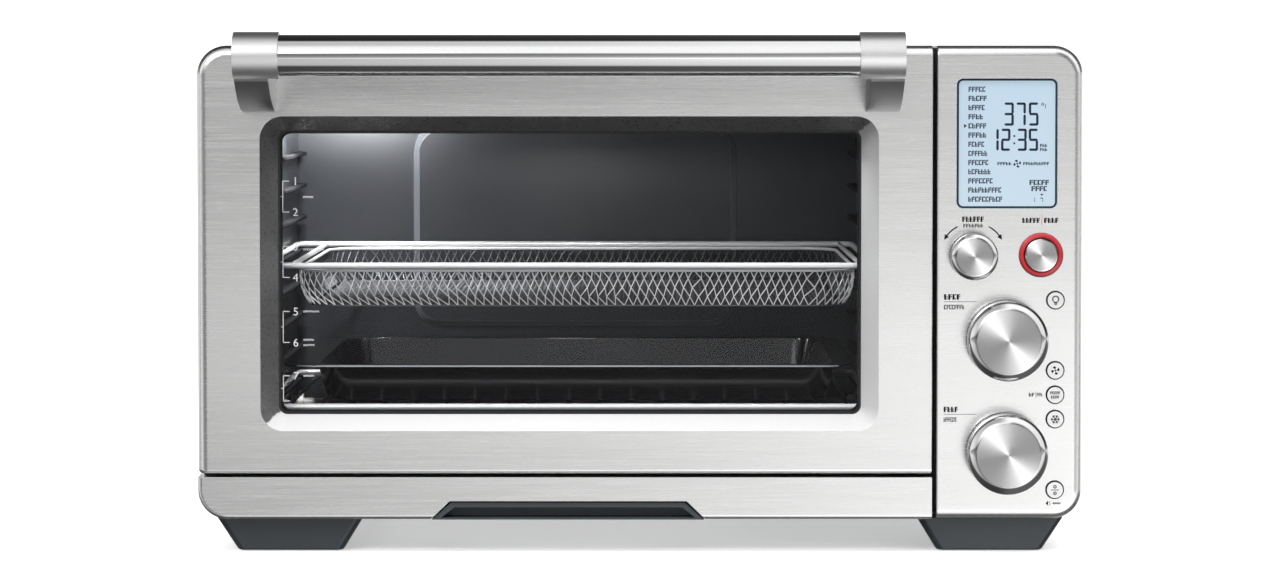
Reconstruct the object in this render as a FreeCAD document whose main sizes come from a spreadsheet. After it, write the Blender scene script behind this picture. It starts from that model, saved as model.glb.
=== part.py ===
import FreeCAD, Part
import math
import os
import Sketcher
from FreeCAD import Placement, Rotation, Vector

# A countertop toaster oven in millimetres. X runs to the right of the person facing it, Y to the
# rear and Z up. The origin is under the middle of the oven, on the counter.

DRIVING = {
    # cabinet
    "half_width": 273.0, "body_low": 21.2, "body_high": 313.5, "corner": 18.5,
    "front_y": -155.0, "wrap_front": -129.8, "wrap_rear": 211.6, "sheet": 1.2, "wrap_slot": 252.0,
    "rear_reach": 217.0,
    # stainless front panels
    "door_right": 180.1, "door_low": 49.2, "trim_high": 47.3, "fascia_left": 182.8,
    "door_depth": 22.0, "fascia_depth": 24.8, "wall": 2.5, "edge_round": 6.5, "low_round": 3.0,
    "seam_round": 0.8,
    # window
    "win_left": -224.0, "win_right": 137.0, "win_low": 85.0, "win_high": 261.0, "win_corner": 5.5,
    "bevel_side": 9.9, "bevel_low": 9.0, "bevel_corner": 14.0, "bevel_depth": 15.0,
    "bevel_skin": 1.2, "glass_thick": 4.0, "glass_lap": 5.0, "gasket_lip": 1.3,
    # door hinge and handle
    "pivot_y": -149.0, "pivot_z": 57.0, "pin_r": 2.5, "bar_r": 12.5, "cap_r": 14.2,
    "bar_y": -202.8, "bar_z": 307.2, "cap_wide": 27.3, "leg_wide": 20.5, "handle_left": -244.0,
    "handle_right": 159.2, "leg_low": 272.7, "leg_high": 290.0,
    # cavity
    "cav_left": -242.0, "cav_right": 153.0, "cav_low": 51.0, "cav_high": 290.0, "cav_front": -127.0,
    "cav_rear": 179.0, "liner": 1.0, "level_low": 84.5, "level_pitch": 22.25, "guide_tall": 3.0,
    "guide_deep": 6.9, "levels": 8,
    # racks, pan and tray
    "rail_left": -238.5, "rail_right": 148.0, "rail_front": -115.0, "rack_rear": 135.0,
    "basket_rear": 150.0, "rack_z": 86.9, "basket_z": 175.7, "rail_r": 2.2, "wire_r": 1.3,
    "wire_pitch": 19.8, "basket_low": 149.5, "mesh_left": -217.0, "mesh_right": 137.0,
    "pan_low": 89.3, "pan_high": 112.5, "pan_sheet": 1.2, "pan_left": -199.0, "pan_right": 118.0,
    "pan_front": -94.0, "pan_rear": 114.0, "pan_slope": 6.0, "pan_bend": 16.0, "pan_rim_left": -226.0,
    "pan_rim_right": 137.0, "pan_rim_front": -108.0, "pan_rim_rear": 128.0, "mesh_bend": 22.0,
    "tray_left": -164.0, "tray_right": 75.0, "tray_front": -95.0,
    "tray_rear": 185.0, "tray_low": 14.8, "tray_high": 20.8, "tray_sheet": 0.8, "tongue_left": -100.0,
    "tongue_right": 11.0, "tongue_front": -139.0, "grip_left": -128.8, "grip_right": 39.9,
    "grip_high": 31.7, "grip_slope": 12.0, "grip_deep": 16.0,
    # lamp, fan and cord exit
    "lamp_y": 118.0, "lamp_z": 256.0, "lamp_r": 12.0, "fan_y": 30.0, "fan_z": 170.0, "vent_r": 2.4,
    "vent_pitch": 14.0, "gland_x": 200.0, "gland_z": 60.0, "gland_r": 8.0, "tube_r": 4.5,
    # controls, measured across the fascia
    "lcd_left": 194.6, "lcd_right": 256.7, "lcd_low": 213.2, "lcd_high": 293.3, "lcd_corner": 4.0,
    "select_x": 204.9, "select_z": 184.1, "start_x": 246.7, "start_z": 184.6, "knob_x": 225.3,
    "temp_z": 132.5, "time_z": 63.0, "button_x": 255.7, "button_r": 5.6, "shaft_r": 3.0,
    "board_y": -138.6, "push_travel": 1.0,
    # feet
    "foot_outer": 263.0, "foot_inner": 171.5, "foot_taper": 13.0, "foot_front": -143.0,
    "foot_back": 198.0, "foot_deep": 52.0,
}

HEATERS = {
    "upper_heater_tubes": (274.0, (-85.0, -5.0, 75.0, 150.0)),
    "lower_heater_tubes": (66.0, (-60.0, 30.0, 120.0)),
}

BUTTON_HEIGHTS = {
    "light_button": 156.8,
    "fan_button": 113.5,
    "phase_button": 98.4,
    "frozen_button": 83.4,
    "unit_button": 39.7,
}

doc = FreeCAD.newDocument("toaster_oven")
sheet = doc.addObject("Spreadsheet::Sheet", "dims")
for row, (alias, number) in enumerate(DRIVING.items(), start=1):
    sheet.set(f"A{row}", alias)
    sheet.set(f"B{row}", str(number))
    sheet.setAlias(f"B{row}", alias)
doc.recompute()

PARTS = []


# ---------------------------------------------------------------- sizes bound to the sheet

class Size:
    """A length that carries both its value and the sheet expression that gives it."""

    def __init__(self, value, text):
        self.value = value
        self.text = text

    def __add__(self, other):
        other = size(other)
        return Size(self.value + other.value, f"({self.text} + {other.text})")

    def __sub__(self, other):
        other = size(other)
        return Size(self.value - other.value, f"({self.text} - {other.text})")

    def __mul__(self, other):
        other = size(other)
        return Size(self.value * other.value, f"({self.text} * {other.text})")

    def __neg__(self):
        return Size(-self.value, f"(0 - {self.text})")

    def __radd__(self, other):
        return size(other) + self

    def __rsub__(self, other):
        return size(other) - self

    def __rmul__(self, other):
        return size(other) * self


def size(item):
    """A Size from a Size or a plain number."""
    if isinstance(item, Size):
        return item
    if item < 0:
        return Size(float(item), f"(0 - {-item})")
    return Size(float(item), str(item))


class Dimensions:
    """Reads a named cell of the sheet as a Size."""

    def __getattr__(self, alias):
        return Size(float(getattr(sheet, alias)), "dims." + alias)


d = Dimensions()


def num(item):
    return size(item).value


# ---------------------------------------------------------------- bodies, sketches, features

AXIS_SIGN = {"XY": 1, "XZ": -1, "YZ": 1}


def new_body(label):
    body = doc.addObject("PartDesign::Body", label)
    body.Label = label
    PARTS.append(body)
    return body


def new_sketch(body, plane, place):
    """A sketch parallel to one of the body's own planes, at a place along that plane's axis."""
    role = plane + "_Plane"
    support = [item for item in body.Origin.OriginFeatures if item.Role == role][0]
    sketch = body.newObject("Sketcher::SketchObject", body.Name + "_sketch")
    sketch.AttachmentSupport = [(support, "")]
    sketch.MapMode = "FlatFace"
    offset = size(place) * AXIS_SIGN[plane]
    sketch.setExpression("AttachmentOffset.Base.z", offset.text)
    return sketch


def hold(sketch, kind, geometry, point, value):
    """Fixes one coordinate of a point, measured from the origin."""
    value = size(value)
    index = sketch.addConstraint(Sketcher.Constraint(kind, -1, 1, geometry, point, value.value))
    name = f"{kind}_{index}"
    sketch.renameConstraint(index, name)
    sketch.setExpression("Constraints." + name, value.text)


def polygon(sketch, points):
    """A closed outline of straight lines whose corners are all bound to the sheet."""
    spots = [Vector(num(across), num(up), 0) for across, up in points]
    first = sketch.GeometryCount
    count = len(spots)
    for index in range(count):
        sketch.addGeometry(Part.LineSegment(spots[index], spots[(index + 1) % count]))
    for index in range(count):
        after = first + (index + 1) % count
        sketch.addConstraint(Sketcher.Constraint("Coincident", first + index, 2, after, 1))
    for index, (across, up) in enumerate(points):
        hold(sketch, "DistanceX", first + index, 1, across)
        hold(sketch, "DistanceY", first + index, 1, up)


def rectangle(sketch, left, right, low, high, radius=None):
    """A rectangle bound to the sheet, with four equal round corners if a radius is given."""
    if radius is None:
        polygon(sketch, [(left, low), (right, low), (right, high), (left, high)])
        return
    west, east, south, north, bend = (num(item) for item in (left, right, low, high, radius))
    first = sketch.GeometryCount
    quarter = math.pi / 2
    sides = [
        ((west + bend, south), (east - bend, south)),
        ((east, south + bend), (east, north - bend)),
        ((east - bend, north), (west + bend, north)),
        ((west, north - bend), (west, south + bend)),
    ]
    bends = [(east - bend, south + bend), (east - bend, north - bend),
             (west + bend, north - bend), (west + bend, south + bend)]
    for index in range(4):
        start, end = sides[index]
        sketch.addGeometry(Part.LineSegment(Vector(*start, 0), Vector(*end, 0)))
        circle = Part.Circle(Vector(*bends[index], 0), Vector(0, 0, 1), bend)
        begin = (index - 1) * quarter
        sketch.addGeometry(Part.ArcOfCircle(circle, begin, begin + quarter))
    for index in range(4):
        line = first + 2 * index
        after = first + (2 * index + 2) % 8
        sketch.addConstraint(Sketcher.Constraint("Tangent", line, 2, line + 1, 1))
        sketch.addConstraint(Sketcher.Constraint("Tangent", line + 1, 2, after, 1))
        kind = "Vertical" if index % 2 else "Horizontal"
        sketch.addConstraint(Sketcher.Constraint(kind, line))
    for index in range(1, 4):
        sketch.addConstraint(Sketcher.Constraint("Equal", first + 1, first + 2 * index + 1))
    bound = sketch.addConstraint(Sketcher.Constraint("Radius", first + 1, bend))
    sketch.renameConstraint(bound, f"Radius_{bound}")
    sketch.setExpression(f"Constraints.Radius_{bound}", size(radius).text)
    hold(sketch, "DistanceY", first, 1, low)
    hold(sketch, "DistanceX", first + 2, 1, right)
    hold(sketch, "DistanceY", first + 4, 1, high)
    hold(sketch, "DistanceX", first + 6, 1, left)


def circle(sketch, across, up, radius):
    """A circle bound to the sheet."""
    center = Vector(num(across), num(up), 0)
    index = sketch.addGeometry(Part.Circle(center, Vector(0, 0, 1), num(radius)))
    hold(sketch, "DistanceX", index, 3, across)
    hold(sketch, "DistanceY", index, 3, up)
    bound = sketch.addConstraint(Sketcher.Constraint("Radius", index, num(radius)))
    sketch.renameConstraint(bound, f"Radius_{bound}")
    sketch.setExpression(f"Constraints.Radius_{bound}", size(radius).text)


def extrude(body, sketch, plane, length):
    """Adds material from the sketch towards the positive end of the plane's axis."""
    feature = body.newObject("PartDesign::Pad", body.Name + "_pad")
    feature.Profile = sketch
    feature.setExpression("Length", size(length).text)
    feature.Reversed = plane == "XZ"
    doc.recompute()
    return feature


def cut(body, sketch, plane, length):
    """Removes material from the sketch towards the positive end of the plane's axis."""
    before = body.Shape.Volume
    feature = body.newObject("PartDesign::Pocket", body.Name + "_pocket")
    feature.Profile = sketch
    feature.setExpression("Length", size(length).text)
    feature.Reversed = plane != "XZ"
    doc.recompute()
    if body.Shape.Volume > before - 0.01:
        raise ValueError(f"{body.Label}: a pocket removed nothing")
    return feature


def pattern(body, feature, axis, length, count):
    """Repeats a feature in a straight row along one of the body's axes."""
    row = body.newObject("PartDesign::LinearPattern", body.Name + "_row")
    line = [item for item in body.Origin.OriginFeatures if item.Role == axis + "_Axis"][0]
    row.Originals = [feature]
    row.Direction = (line, [""])
    row.Length = num(length)
    row.Occurrences = count
    body.Tip = row
    doc.recompute()
    return row


def plate(label, plane, place, length, *loops):
    """A flat piece padded from one sketch; the first loop is its outline, the rest are holes."""
    body = new_body(label)
    sketch = new_sketch(body, plane, place)
    for loop in loops:
        if len(loop) == 3:
            circle(sketch, *loop)
        else:
            rectangle(sketch, *loop)
    extrude(body, sketch, plane, length)
    return body


def add_block(body, left, right, front, rear, low, high):
    """A rectangular lump joined to a body."""
    sketch = new_sketch(body, "XY", low)
    rectangle(sketch, left, right, front, rear)
    return extrude(body, sketch, "XY", size(high) - low)


def cut_block(body, left, right, front, rear, low, high):
    """A rectangular hole in a body."""
    sketch = new_sketch(body, "XY", low)
    rectangle(sketch, left, right, front, rear)
    return cut(body, sketch, "XY", size(high) - low)


def loft(body, plane, near, far, kind="PartDesign::AdditiveLoft"):
    """Joins two rounded rectangles; near and far are (place, left, right, low, high, radius)."""
    sketches = []
    for place, *outline in (near, far):
        sketch = new_sketch(body, plane, place)
        rectangle(sketch, *outline)
        sketches.append(sketch)
    feature = body.newObject(kind, body.Name + "_loft")
    feature.Profile = sketches[0]
    feature.Sections = sketches[1:]
    feature.Ruled = True
    doc.recompute()
    return feature


def round_edges(body, radius, wanted):
    """Rounds the edges of a body that a test picks."""
    base = body.Tip
    names = [f"Edge{index}" for index, edge in enumerate(base.Shape.Edges, start=1) if wanted(edge)]
    feature = body.newObject("PartDesign::Fillet", body.Name + "_round")
    feature.Base = (base, names)
    feature.setExpression("Radius", size(radius).text)
    doc.recompute()
    return feature


def turned(label, across, up, profile):
    """A piece turned about an axis along Y; the profile is (radius, y) corner points."""
    body = new_body(label)
    sketch = new_sketch(body, "XY", up)
    points = [(size(across) + radius, along) for radius, along in profile]
    start = Vector(num(across), min(num(item[1]) for item in profile) - 5, 0)
    axis = sketch.addGeometry(Part.LineSegment(start, start + Vector(0, 5, 0)), True)
    sketch.addConstraint(Sketcher.Constraint("Vertical", axis))
    hold(sketch, "DistanceX", axis, 1, across)
    polygon(sketch, points)
    feature = body.newObject("PartDesign::Revolution", body.Name + "_turn")
    feature.Profile = sketch
    feature.ReferenceAxis = (sketch, ["Axis0"])
    feature.Angle = 360.0
    doc.recompute()
    return body


def direct(label, solids):
    """A node of one or more solids that are made directly from the sheet's sizes."""
    feature = doc.addObject("Part::Feature", label)
    feature.Label = label
    feature.Shape = solids[0] if len(solids) == 1 else Part.makeCompound(solids)
    feature.Placement = Placement(Vector(0, 0, 0), Rotation())
    PARTS.append(feature)
    return feature


def rod(start, end, radius):
    """A round bar between two points."""
    run = end - start
    return Part.makeCylinder(radius, run.Length, start, run)


def brick(left, right, front, rear, low, high):
    return Part.makeBox(right - left, rear - front, high - low, Vector(left, front, low))


def ring_wire(left, right, front, rear, high, bend, radius):
    """A closed loop of round wire lying flat, with rounded corners."""
    turns = [(right - bend, front + bend), (right - bend, rear - bend),
             (left + bend, rear - bend), (left + bend, front + bend)]
    edges = []
    points = []
    for index, (across, along) in enumerate(turns):
        begin = (index - 1) * 90.0
        arc = Part.makeCircle(bend, Vector(across, along, high), Vector(0, 0, 1), begin, begin + 90)
        edges.append(arc)
        points.append((arc.valueAt(arc.FirstParameter), arc.valueAt(arc.LastParameter)))
    loop = []
    for index in range(4):
        loop.append(edges[index])
        loop.append(Part.makeLine(points[index][1], points[(index + 1) % 4][0]))
    path = Part.Wire(loop)
    start = points[0][0]
    section = Part.Wire([Part.makeCircle(radius, start, Vector(1, 0, 0))])
    return path.makePipeShell([section], True, False)


def fused(solids):
    whole = solids[0].multiFuse(solids[1:])
    return whole.removeSplitter()


# ---------------------------------------------------------------- cabinet

def make_outer_wrap():
    """Stainless top and sides, open underneath between two narrow flanges, with side louvres."""
    body = plate("outer_wrap", "XZ", d.wrap_front, d.wrap_rear - d.wrap_front,
                 (-d.half_width, d.half_width, d.body_low, d.body_high, d.corner),
                 (-d.half_width + d.sheet, d.half_width - d.sheet, d.body_low + d.sheet,
                  d.body_high - d.sheet, d.corner - d.sheet))
    cut_block(body, -d.wrap_slot, d.wrap_slot, d.wrap_front - 1, d.wrap_rear + 1,
              d.body_low - 1, d.body_low + 2)
    louvre_front, louvre_rear, louvre_low, louvre_tall = 120, 180, 70, 3
    for side in (-1, 1):
        sketch = new_sketch(body, "YZ", side * d.half_width - 3)
        rectangle(sketch, louvre_front, louvre_rear, louvre_low, louvre_low + louvre_tall, 1.4)
        slot = cut(body, sketch, "YZ", 6)
        pattern(body, slot, "Z", 90, 11)


def make_base_pan():
    """Bottom sheet with an opening over the crumb tray and the two rails that carry the tray."""
    low = d.body_low + 0.2
    body = plate("base_pan", "XY", low, d.sheet,
                 (-d.wrap_slot + 0.5, d.wrap_slot - 0.5, d.wrap_front + 2.5, d.wrap_rear - 1.5),
                 (d.tray_left + 1, d.tray_right - 1, d.tray_front - 3, d.tray_rear - 7))
    rail_front, rail_rear, rail_low = d.tray_front + 10, d.tray_rear + 3, d.tray_low - 1.2
    for side, edge in ((-1, d.tray_left), (1, d.tray_right)):
        web = sorted((num(edge + side * 0.4), num(edge + side * 1.6)))
        lip = sorted((num(edge + side * 1.6), num(edge - side * 6.0)))
        add_block(body, web[0], web[1], rail_front, rail_rear, rail_low, low)
        add_block(body, lip[0], lip[1], rail_front, rail_rear, rail_low, d.tray_low - 0.4)


def make_rear_panel():
    """Back sheet with cooling slots and a round hole for the cord's gland."""
    body = plate("rear_panel", "XZ", d.wrap_rear, d.sheet,
                 (-d.half_width, d.half_width, d.body_low, d.body_high, d.corner),
                 (d.gland_x, d.gland_z, d.gland_r + 0.2))
    slot_low, slot_wide, slot_tall = 255, 90, 4
    for left in (-200, -60, 150):
        sketch = new_sketch(body, "XZ", d.wrap_rear - 1)
        rectangle(sketch, left, left + slot_wide, slot_low, slot_low + slot_tall, 1.9)
        slot = cut(body, sketch, "XZ", 4)
        pattern(body, slot, "Z", 35, 5)


def make_front_frame():
    """Enamelled steel face behind the door, open for the cavity and for the controls."""
    inset = d.sheet + 0.2
    body = plate("front_frame", "XZ", d.wrap_front + 0.3, 1.5,
                 (-d.half_width + inset, d.half_width - inset, d.body_low + inset,
                  d.body_high - inset, d.corner - inset),
                 (d.cav_left + 0.5, d.cav_right - 0.5, 62, d.cav_high - 2, 6),
                 (196, 262, 40, 300, 4))
    for left in HINGE_LEFTS:
        cut_block(body, left - 1, left + 7, d.wrap_front - 1, d.wrap_front + 3,
                  d.pivot_z - 4, d.pivot_z + 4)


def at_front(edge):
    """True for an edge that lies in the flat front plane."""
    box = edge.BoundBox
    return abs(box.YMin - num(d.front_y)) < 0.01 and abs(box.YMax - num(d.front_y)) < 0.01


def upright_corner(across, up):
    """A test for the edge along Y that passes a corner of the front outline."""
    def test(edge):
        box = edge.BoundBox
        flat = abs(box.XMax - box.XMin) < 0.01 and abs(box.ZMax - box.ZMin) < 0.01
        return flat and abs(box.XMin - num(across)) < 0.01 and abs(box.ZMin - num(up)) < 0.01
    return test


HINGE_LEFTS = (-262.0, 158.0)


def make_door_outer_panel():
    """Stainless door skin: one round corner, a hollow back and a bevelled window opening."""
    left, right, low, high = -d.half_width, d.door_right, d.door_low, d.body_high
    body = new_body("door_outer_panel")
    sketch = new_sketch(body, "XZ", d.front_y)
    rectangle(sketch, left, right, low, high)
    extrude(body, sketch, "XZ", d.door_depth)
    round_edges(body, d.corner, upright_corner(left, high))
    def outer(edge):
        box = edge.BoundBox
        at_right = abs(box.XMin - num(right)) < 0.01
        at_low = abs(box.ZMax - num(low)) < 0.01
        return at_front(edge) and not at_right and not at_low
    def bottom(edge):
        box = edge.BoundBox
        return abs(box.ZMax - num(low)) < 0.01 and abs(box.YMax - num(d.front_y)) < 0.01
    def seam(edge):
        box = edge.BoundBox
        return abs(box.XMin - num(right)) < 0.01 and abs(box.YMax - num(d.front_y)) < 0.01
    round_edges(body, d.edge_round, outer)
    round_edges(body, d.low_round, bottom)
    round_edges(body, d.seam_round, seam)
    hollow = new_sketch(body, "XZ", d.front_y + d.wall)
    rectangle(hollow, left + d.wall, right - d.wall, low + d.wall, high - d.wall, d.corner - d.wall)
    cut(body, hollow, "XZ", d.door_depth)
    cut_block(body, left + d.wall, right - d.wall, d.front_y + d.wall, d.front_y + d.door_depth + 1,
              low + d.wall, low + d.corner + 10)
    skin = d.bevel_skin
    outline = (d.win_left - d.bevel_side, d.win_right + d.bevel_side,
               d.win_low - d.bevel_low, d.win_high + d.bevel_low, d.bevel_corner)
    inner = (d.win_left, d.win_right, d.win_low, d.win_high, d.win_corner)
    def grown(box):
        return (box[0] - skin, box[1] + skin, box[2] - skin, box[3] + skin, box[4] + skin)
    rear = d.front_y + d.bevel_depth
    loft(body, "XZ", (d.front_y + 0.5, *grown(outline)), (rear, *grown(inner)))
    loft(body, "XZ", (d.front_y, *outline), (rear, *inner), "PartDesign::SubtractiveLoft")
    for place in HINGE_LEFTS:
        cut_block(body, place - 1, place + 7, d.front_y + d.wall, d.front_y + d.door_depth + 1,
                  low - 1, low + d.wall + 1)
    return body


def make_door_inner_frame():
    """Flat steel liner on the back of the door, with the window opening and hinge slots."""
    body = plate("door_inner_frame", "XZ", d.front_y + d.door_depth, 1.5,
                 (-d.half_width + 3, d.door_right - 3, d.door_low + 3, d.body_high - 3, 12),
                 (d.win_left + 2, d.win_right - 2, d.win_low + 2, d.win_high - 2, d.win_corner))
    for place in HINGE_LEFTS:
        cut_block(body, place - 1, place + 7, d.front_y + d.door_depth - 1,
                  d.front_y + d.door_depth + 3, d.door_low, d.pivot_z + 5)


def make_door_glass():
    """Toughened pane behind the bevelled opening, and the black seal that grips its edge."""
    lap, lip = d.glass_lap, d.gasket_lip
    front = d.front_y + d.bevel_depth + 0.1
    plate("door_glass", "XZ", front + lip, d.glass_thick,
          (d.win_left - lap, d.win_right + lap, d.win_low - lap, d.win_high + lap, 4))
    body = plate("glass_gasket", "XZ", front, d.glass_thick + 2 * lip,
                 (d.win_left - lap - 2.5, d.win_right + lap + 2.5, d.win_low - lap - 2.5,
                  d.win_high + lap + 2.5, 6),
                 (d.win_left + lip, d.win_right - lip, d.win_low + lip, d.win_high - lip, 4.5))
    groove = new_sketch(body, "XZ", front + lip)
    rectangle(groove, d.win_left - lap, d.win_right + lap, d.win_low - lap, d.win_high + lap, 4)
    cut(body, groove, "XZ", d.glass_thick)


def bracket_arm(leg):
    """Curved arm from its foot on the door up to the cap round the end of the bar."""
    face, low, high = num(d.front_y), num(d.leg_low), num(d.leg_high)
    hub_y, hub_z, hub = num(d.bar_y), num(d.bar_z), num(d.cap_r)
    def spot(along, up):
        return Vector(leg, along, up)
    join = 1.5
    under = spot(hub_y - join, hub_z - math.sqrt(hub ** 2 - join ** 2))
    over = spot(hub_y, hub_z + hub)
    belly = spot(face - 27, low + 6.5)
    neck = spot(face - 23, high + 20)
    edges = [
        Part.Arc(spot(face, low), belly, under).toShape(),
        Part.Arc(under, spot(hub_y - hub, hub_z), over).toShape(),
        Part.Arc(over, neck, spot(face, high)).toShape(),
        Part.makeLine(spot(face, high), spot(face, low)),
    ]
    return Part.Face(Part.Wire(edges)).extrude(Vector(num(d.leg_wide), 0, 0))


def make_handle():
    """Polished tube handle, its two curved end brackets and the screws that hold them."""
    left_in = d.handle_left + d.cap_wide
    right_in = d.handle_right - d.cap_wide
    tube_wall = 1.5
    plate("handle_bar", "YZ", left_in + 0.05, right_in - left_in - 0.1,
          (d.bar_y, d.bar_z, d.bar_r), (d.bar_y, d.bar_z, d.bar_r - tube_wall))
    face, hub = num(d.front_y), Vector(0, num(d.bar_y), num(d.bar_z))
    bore_r, shank_r, head_r = 2.05, 2.0, 4.0
    screws = []
    for label, cap, leg in (
        ("handle_bracket_left", num(d.handle_left), num(d.handle_left)),
        ("handle_bracket_right", num(right_in), num(d.handle_right - d.leg_wide)),
    ):
        start = hub + Vector(cap, 0, 0)
        cap_solid = rod(start, start + Vector(num(d.cap_wide), 0, 0), num(d.cap_r))
        solid = fused([bracket_arm(leg), cap_solid])
        middle = leg + num(d.leg_wide) / 2
        for up in (num(d.leg_low) + 5, num(d.leg_high) - 4):
            hole = rod(Vector(middle, face + 1, up), Vector(middle, face - 9, up), bore_r)
            solid = solid.cut(hole)
            shank = rod(Vector(middle, face - 8, up), Vector(middle, face + 2.5, up), shank_r)
            head = rod(Vector(middle, face + 2.5, up), Vector(middle, face + 5, up), head_r)
            screws.append(fused([shank, head]))
        direct(label, [solid])
    direct("handle_screws", screws)


def drill_handle_holes(panel):
    """Clearance holes in the door skin for the handle's four screws."""
    for leg in (d.handle_left, d.handle_right - d.leg_wide):
        sketch = new_sketch(panel, "XZ", d.front_y - 1)
        circle(sketch, leg + 0.5 * d.leg_wide, d.leg_low + 5, 2.2)
        circle(sketch, leg + 0.5 * d.leg_wide, d.leg_high - 4, 2.2)
        cut(panel, sketch, "XZ", 4.5)


def make_hinges():
    """Fixed brackets with their pins, door plates that turn on the pins, and closing springs."""
    pivot_y, pivot_z, pin = num(d.pivot_y), num(d.pivot_z), num(d.pin_r)
    frame_rear = num(d.wrap_front) + 1.8
    brackets, plates, springs = [], [], []
    for place in HINGE_LEFTS:
        arm = brick(place, place + 6, pivot_y, frame_rear + 20, pivot_z - 3, pivot_z + 3)
        eye = rod(Vector(place, pivot_y, pivot_z), Vector(place + 6, pivot_y, pivot_z), 3.0)
        flange = brick(place - 3, place + 9, frame_rear, frame_rear + 2, pivot_z - 3, pivot_z + 25)
        shaft = rod(Vector(place - 4.5, pivot_y, pivot_z), Vector(place + 16, pivot_y, pivot_z), pin)
        brackets.append(fused([arm, eye, flange, shaft]))
        for left in (place - 3.5, place + 7.5):
            side = brick(left, left + 2, pivot_y - 3, num(d.front_y + d.door_depth), 52.2, 78)
            bore = rod(Vector(left - 1, pivot_y, pivot_z), Vector(left + 3, pivot_y, pivot_z), pin + 0.05)
            plates.append(side.cut(bore))
        helix = Part.makeHelix(0.95, 5.7, 2.95)
        start = Vector(2.95, 0, 0)
        section = Part.Wire([Part.makeCircle(0.35, start, Vector(0, 1, 0))])
        coil = Part.Wire(helix.Edges).makePipeShell([section], True, False)
        coil.Placement = Placement(Vector(place + 10, pivot_y, pivot_z), Rotation(Vector(0, 1, 0), 90))
        springs.append(coil)
    direct("hinge_brackets", brackets)
    direct("hinge_plates", plates)
    direct("door_springs", springs)


def make_control_fascia():
    """Stainless control panel with the display window and holes for knobs and buttons."""
    left, right, low, high = d.fascia_left, d.half_width, d.body_low, d.body_high
    body = new_body("control_fascia")
    sketch = new_sketch(body, "XZ", d.front_y)
    rectangle(sketch, left, right, low, high)
    extrude(body, sketch, "XZ", d.fascia_depth)
    round_edges(body, d.corner, lambda edge: upright_corner(right, high)(edge)
                or upright_corner(right, low)(edge))
    def outer(edge):
        return at_front(edge) and abs(edge.BoundBox.XMax - num(left)) > 0.01
    def seam(edge):
        box = edge.BoundBox
        return abs(box.XMax - num(left)) < 0.01 and abs(box.YMax - num(d.front_y)) < 0.01
    round_edges(body, d.edge_round, outer)
    round_edges(body, d.seam_round, seam)
    hollow = new_sketch(body, "XZ", d.front_y + d.wall)
    rectangle(hollow, left + d.wall, right - d.wall, low + d.wall, high - d.wall, 12)
    cut(body, hollow, "XZ", d.fascia_depth)
    holes = new_sketch(body, "XZ", d.front_y - 1)
    rectangle(holes, d.lcd_left, d.lcd_right, d.lcd_low, d.lcd_high, d.lcd_corner)
    circle(holes, d.start_x, d.start_z, 13.7)
    for across, up in ((d.select_x, d.select_z), (d.knob_x, d.temp_z), (d.knob_x, d.time_z)):
        circle(holes, across, up, d.shaft_r + 1)
    for up in BUTTON_HEIGHTS.values():
        circle(holes, d.button_x, up, d.button_r + 0.15)
    cut(body, holes, "XZ", d.wall + 2)
    return body


def make_lower_trim():
    """Stainless strip under the door, notched for the crumb tray's grip."""
    left, right, low, high = -d.half_width, d.door_right, d.body_low, d.trim_high
    body = new_body("lower_trim")
    sketch = new_sketch(body, "XZ", d.front_y)
    rectangle(sketch, left, right, low, high)
    extrude(body, sketch, "XZ", d.fascia_depth)
    round_edges(body, d.corner, upright_corner(left, low))
    def outer(edge):
        box = edge.BoundBox
        at_right = abs(box.XMin - num(right)) < 0.01
        at_high = abs(box.ZMin - num(high)) < 0.01
        return at_front(edge) and not at_right and not at_high
    round_edges(body, d.low_round, outer)
    hollow = new_sketch(body, "XZ", d.front_y + d.wall)
    rectangle(hollow, left + d.wall + 6, right - d.wall, low + d.wall, high - d.wall)
    cut(body, hollow, "XZ", d.fascia_depth)
    notch = new_sketch(body, "XZ", d.front_y - 1)
    gap = 0.8
    polygon(notch, [(d.grip_left - 2 * gap, low - 1), (d.grip_right + 2 * gap, low - 1),
                    (d.grip_right - d.grip_slope + gap, d.grip_high + gap),
                    (d.grip_left + d.grip_slope - gap, d.grip_high + gap)])
    cut(body, notch, "XZ", d.fascia_depth + 2)
    return body


def make_feet():
    """Four tapered plastic feet in two pairs."""
    for label, front in (("front_feet", d.foot_front), ("rear_feet", d.foot_back - d.foot_deep)):
        rear = front + d.foot_deep
        solids = []
        for side in (-1, 1):
            wide = sorted((side * num(d.foot_outer), side * num(d.foot_inner)))
            narrow = [wide[0] + num(d.foot_taper), wide[1] - num(d.foot_taper)]
            wires = []
            for (west, east), inset, up in ((narrow, 5.0, 0.0), (wide, 0.0, num(d.body_low))):
                block = brick(west, east, num(front) + inset, num(rear) - inset, up, up + 1)
                rounded = block.makeFillet(5.0, [edge for edge in block.Edges
                                                 if edge.BoundBox.ZLength > 0.5])
                bottom = min(rounded.Faces, key=lambda face: face.CenterOfMass.z)
                wires.append(bottom.OuterWire)
            solids.append(Part.makeLoft(wires, True, True))
        direct(label, solids)


# ---------------------------------------------------------------- cavity

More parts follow.
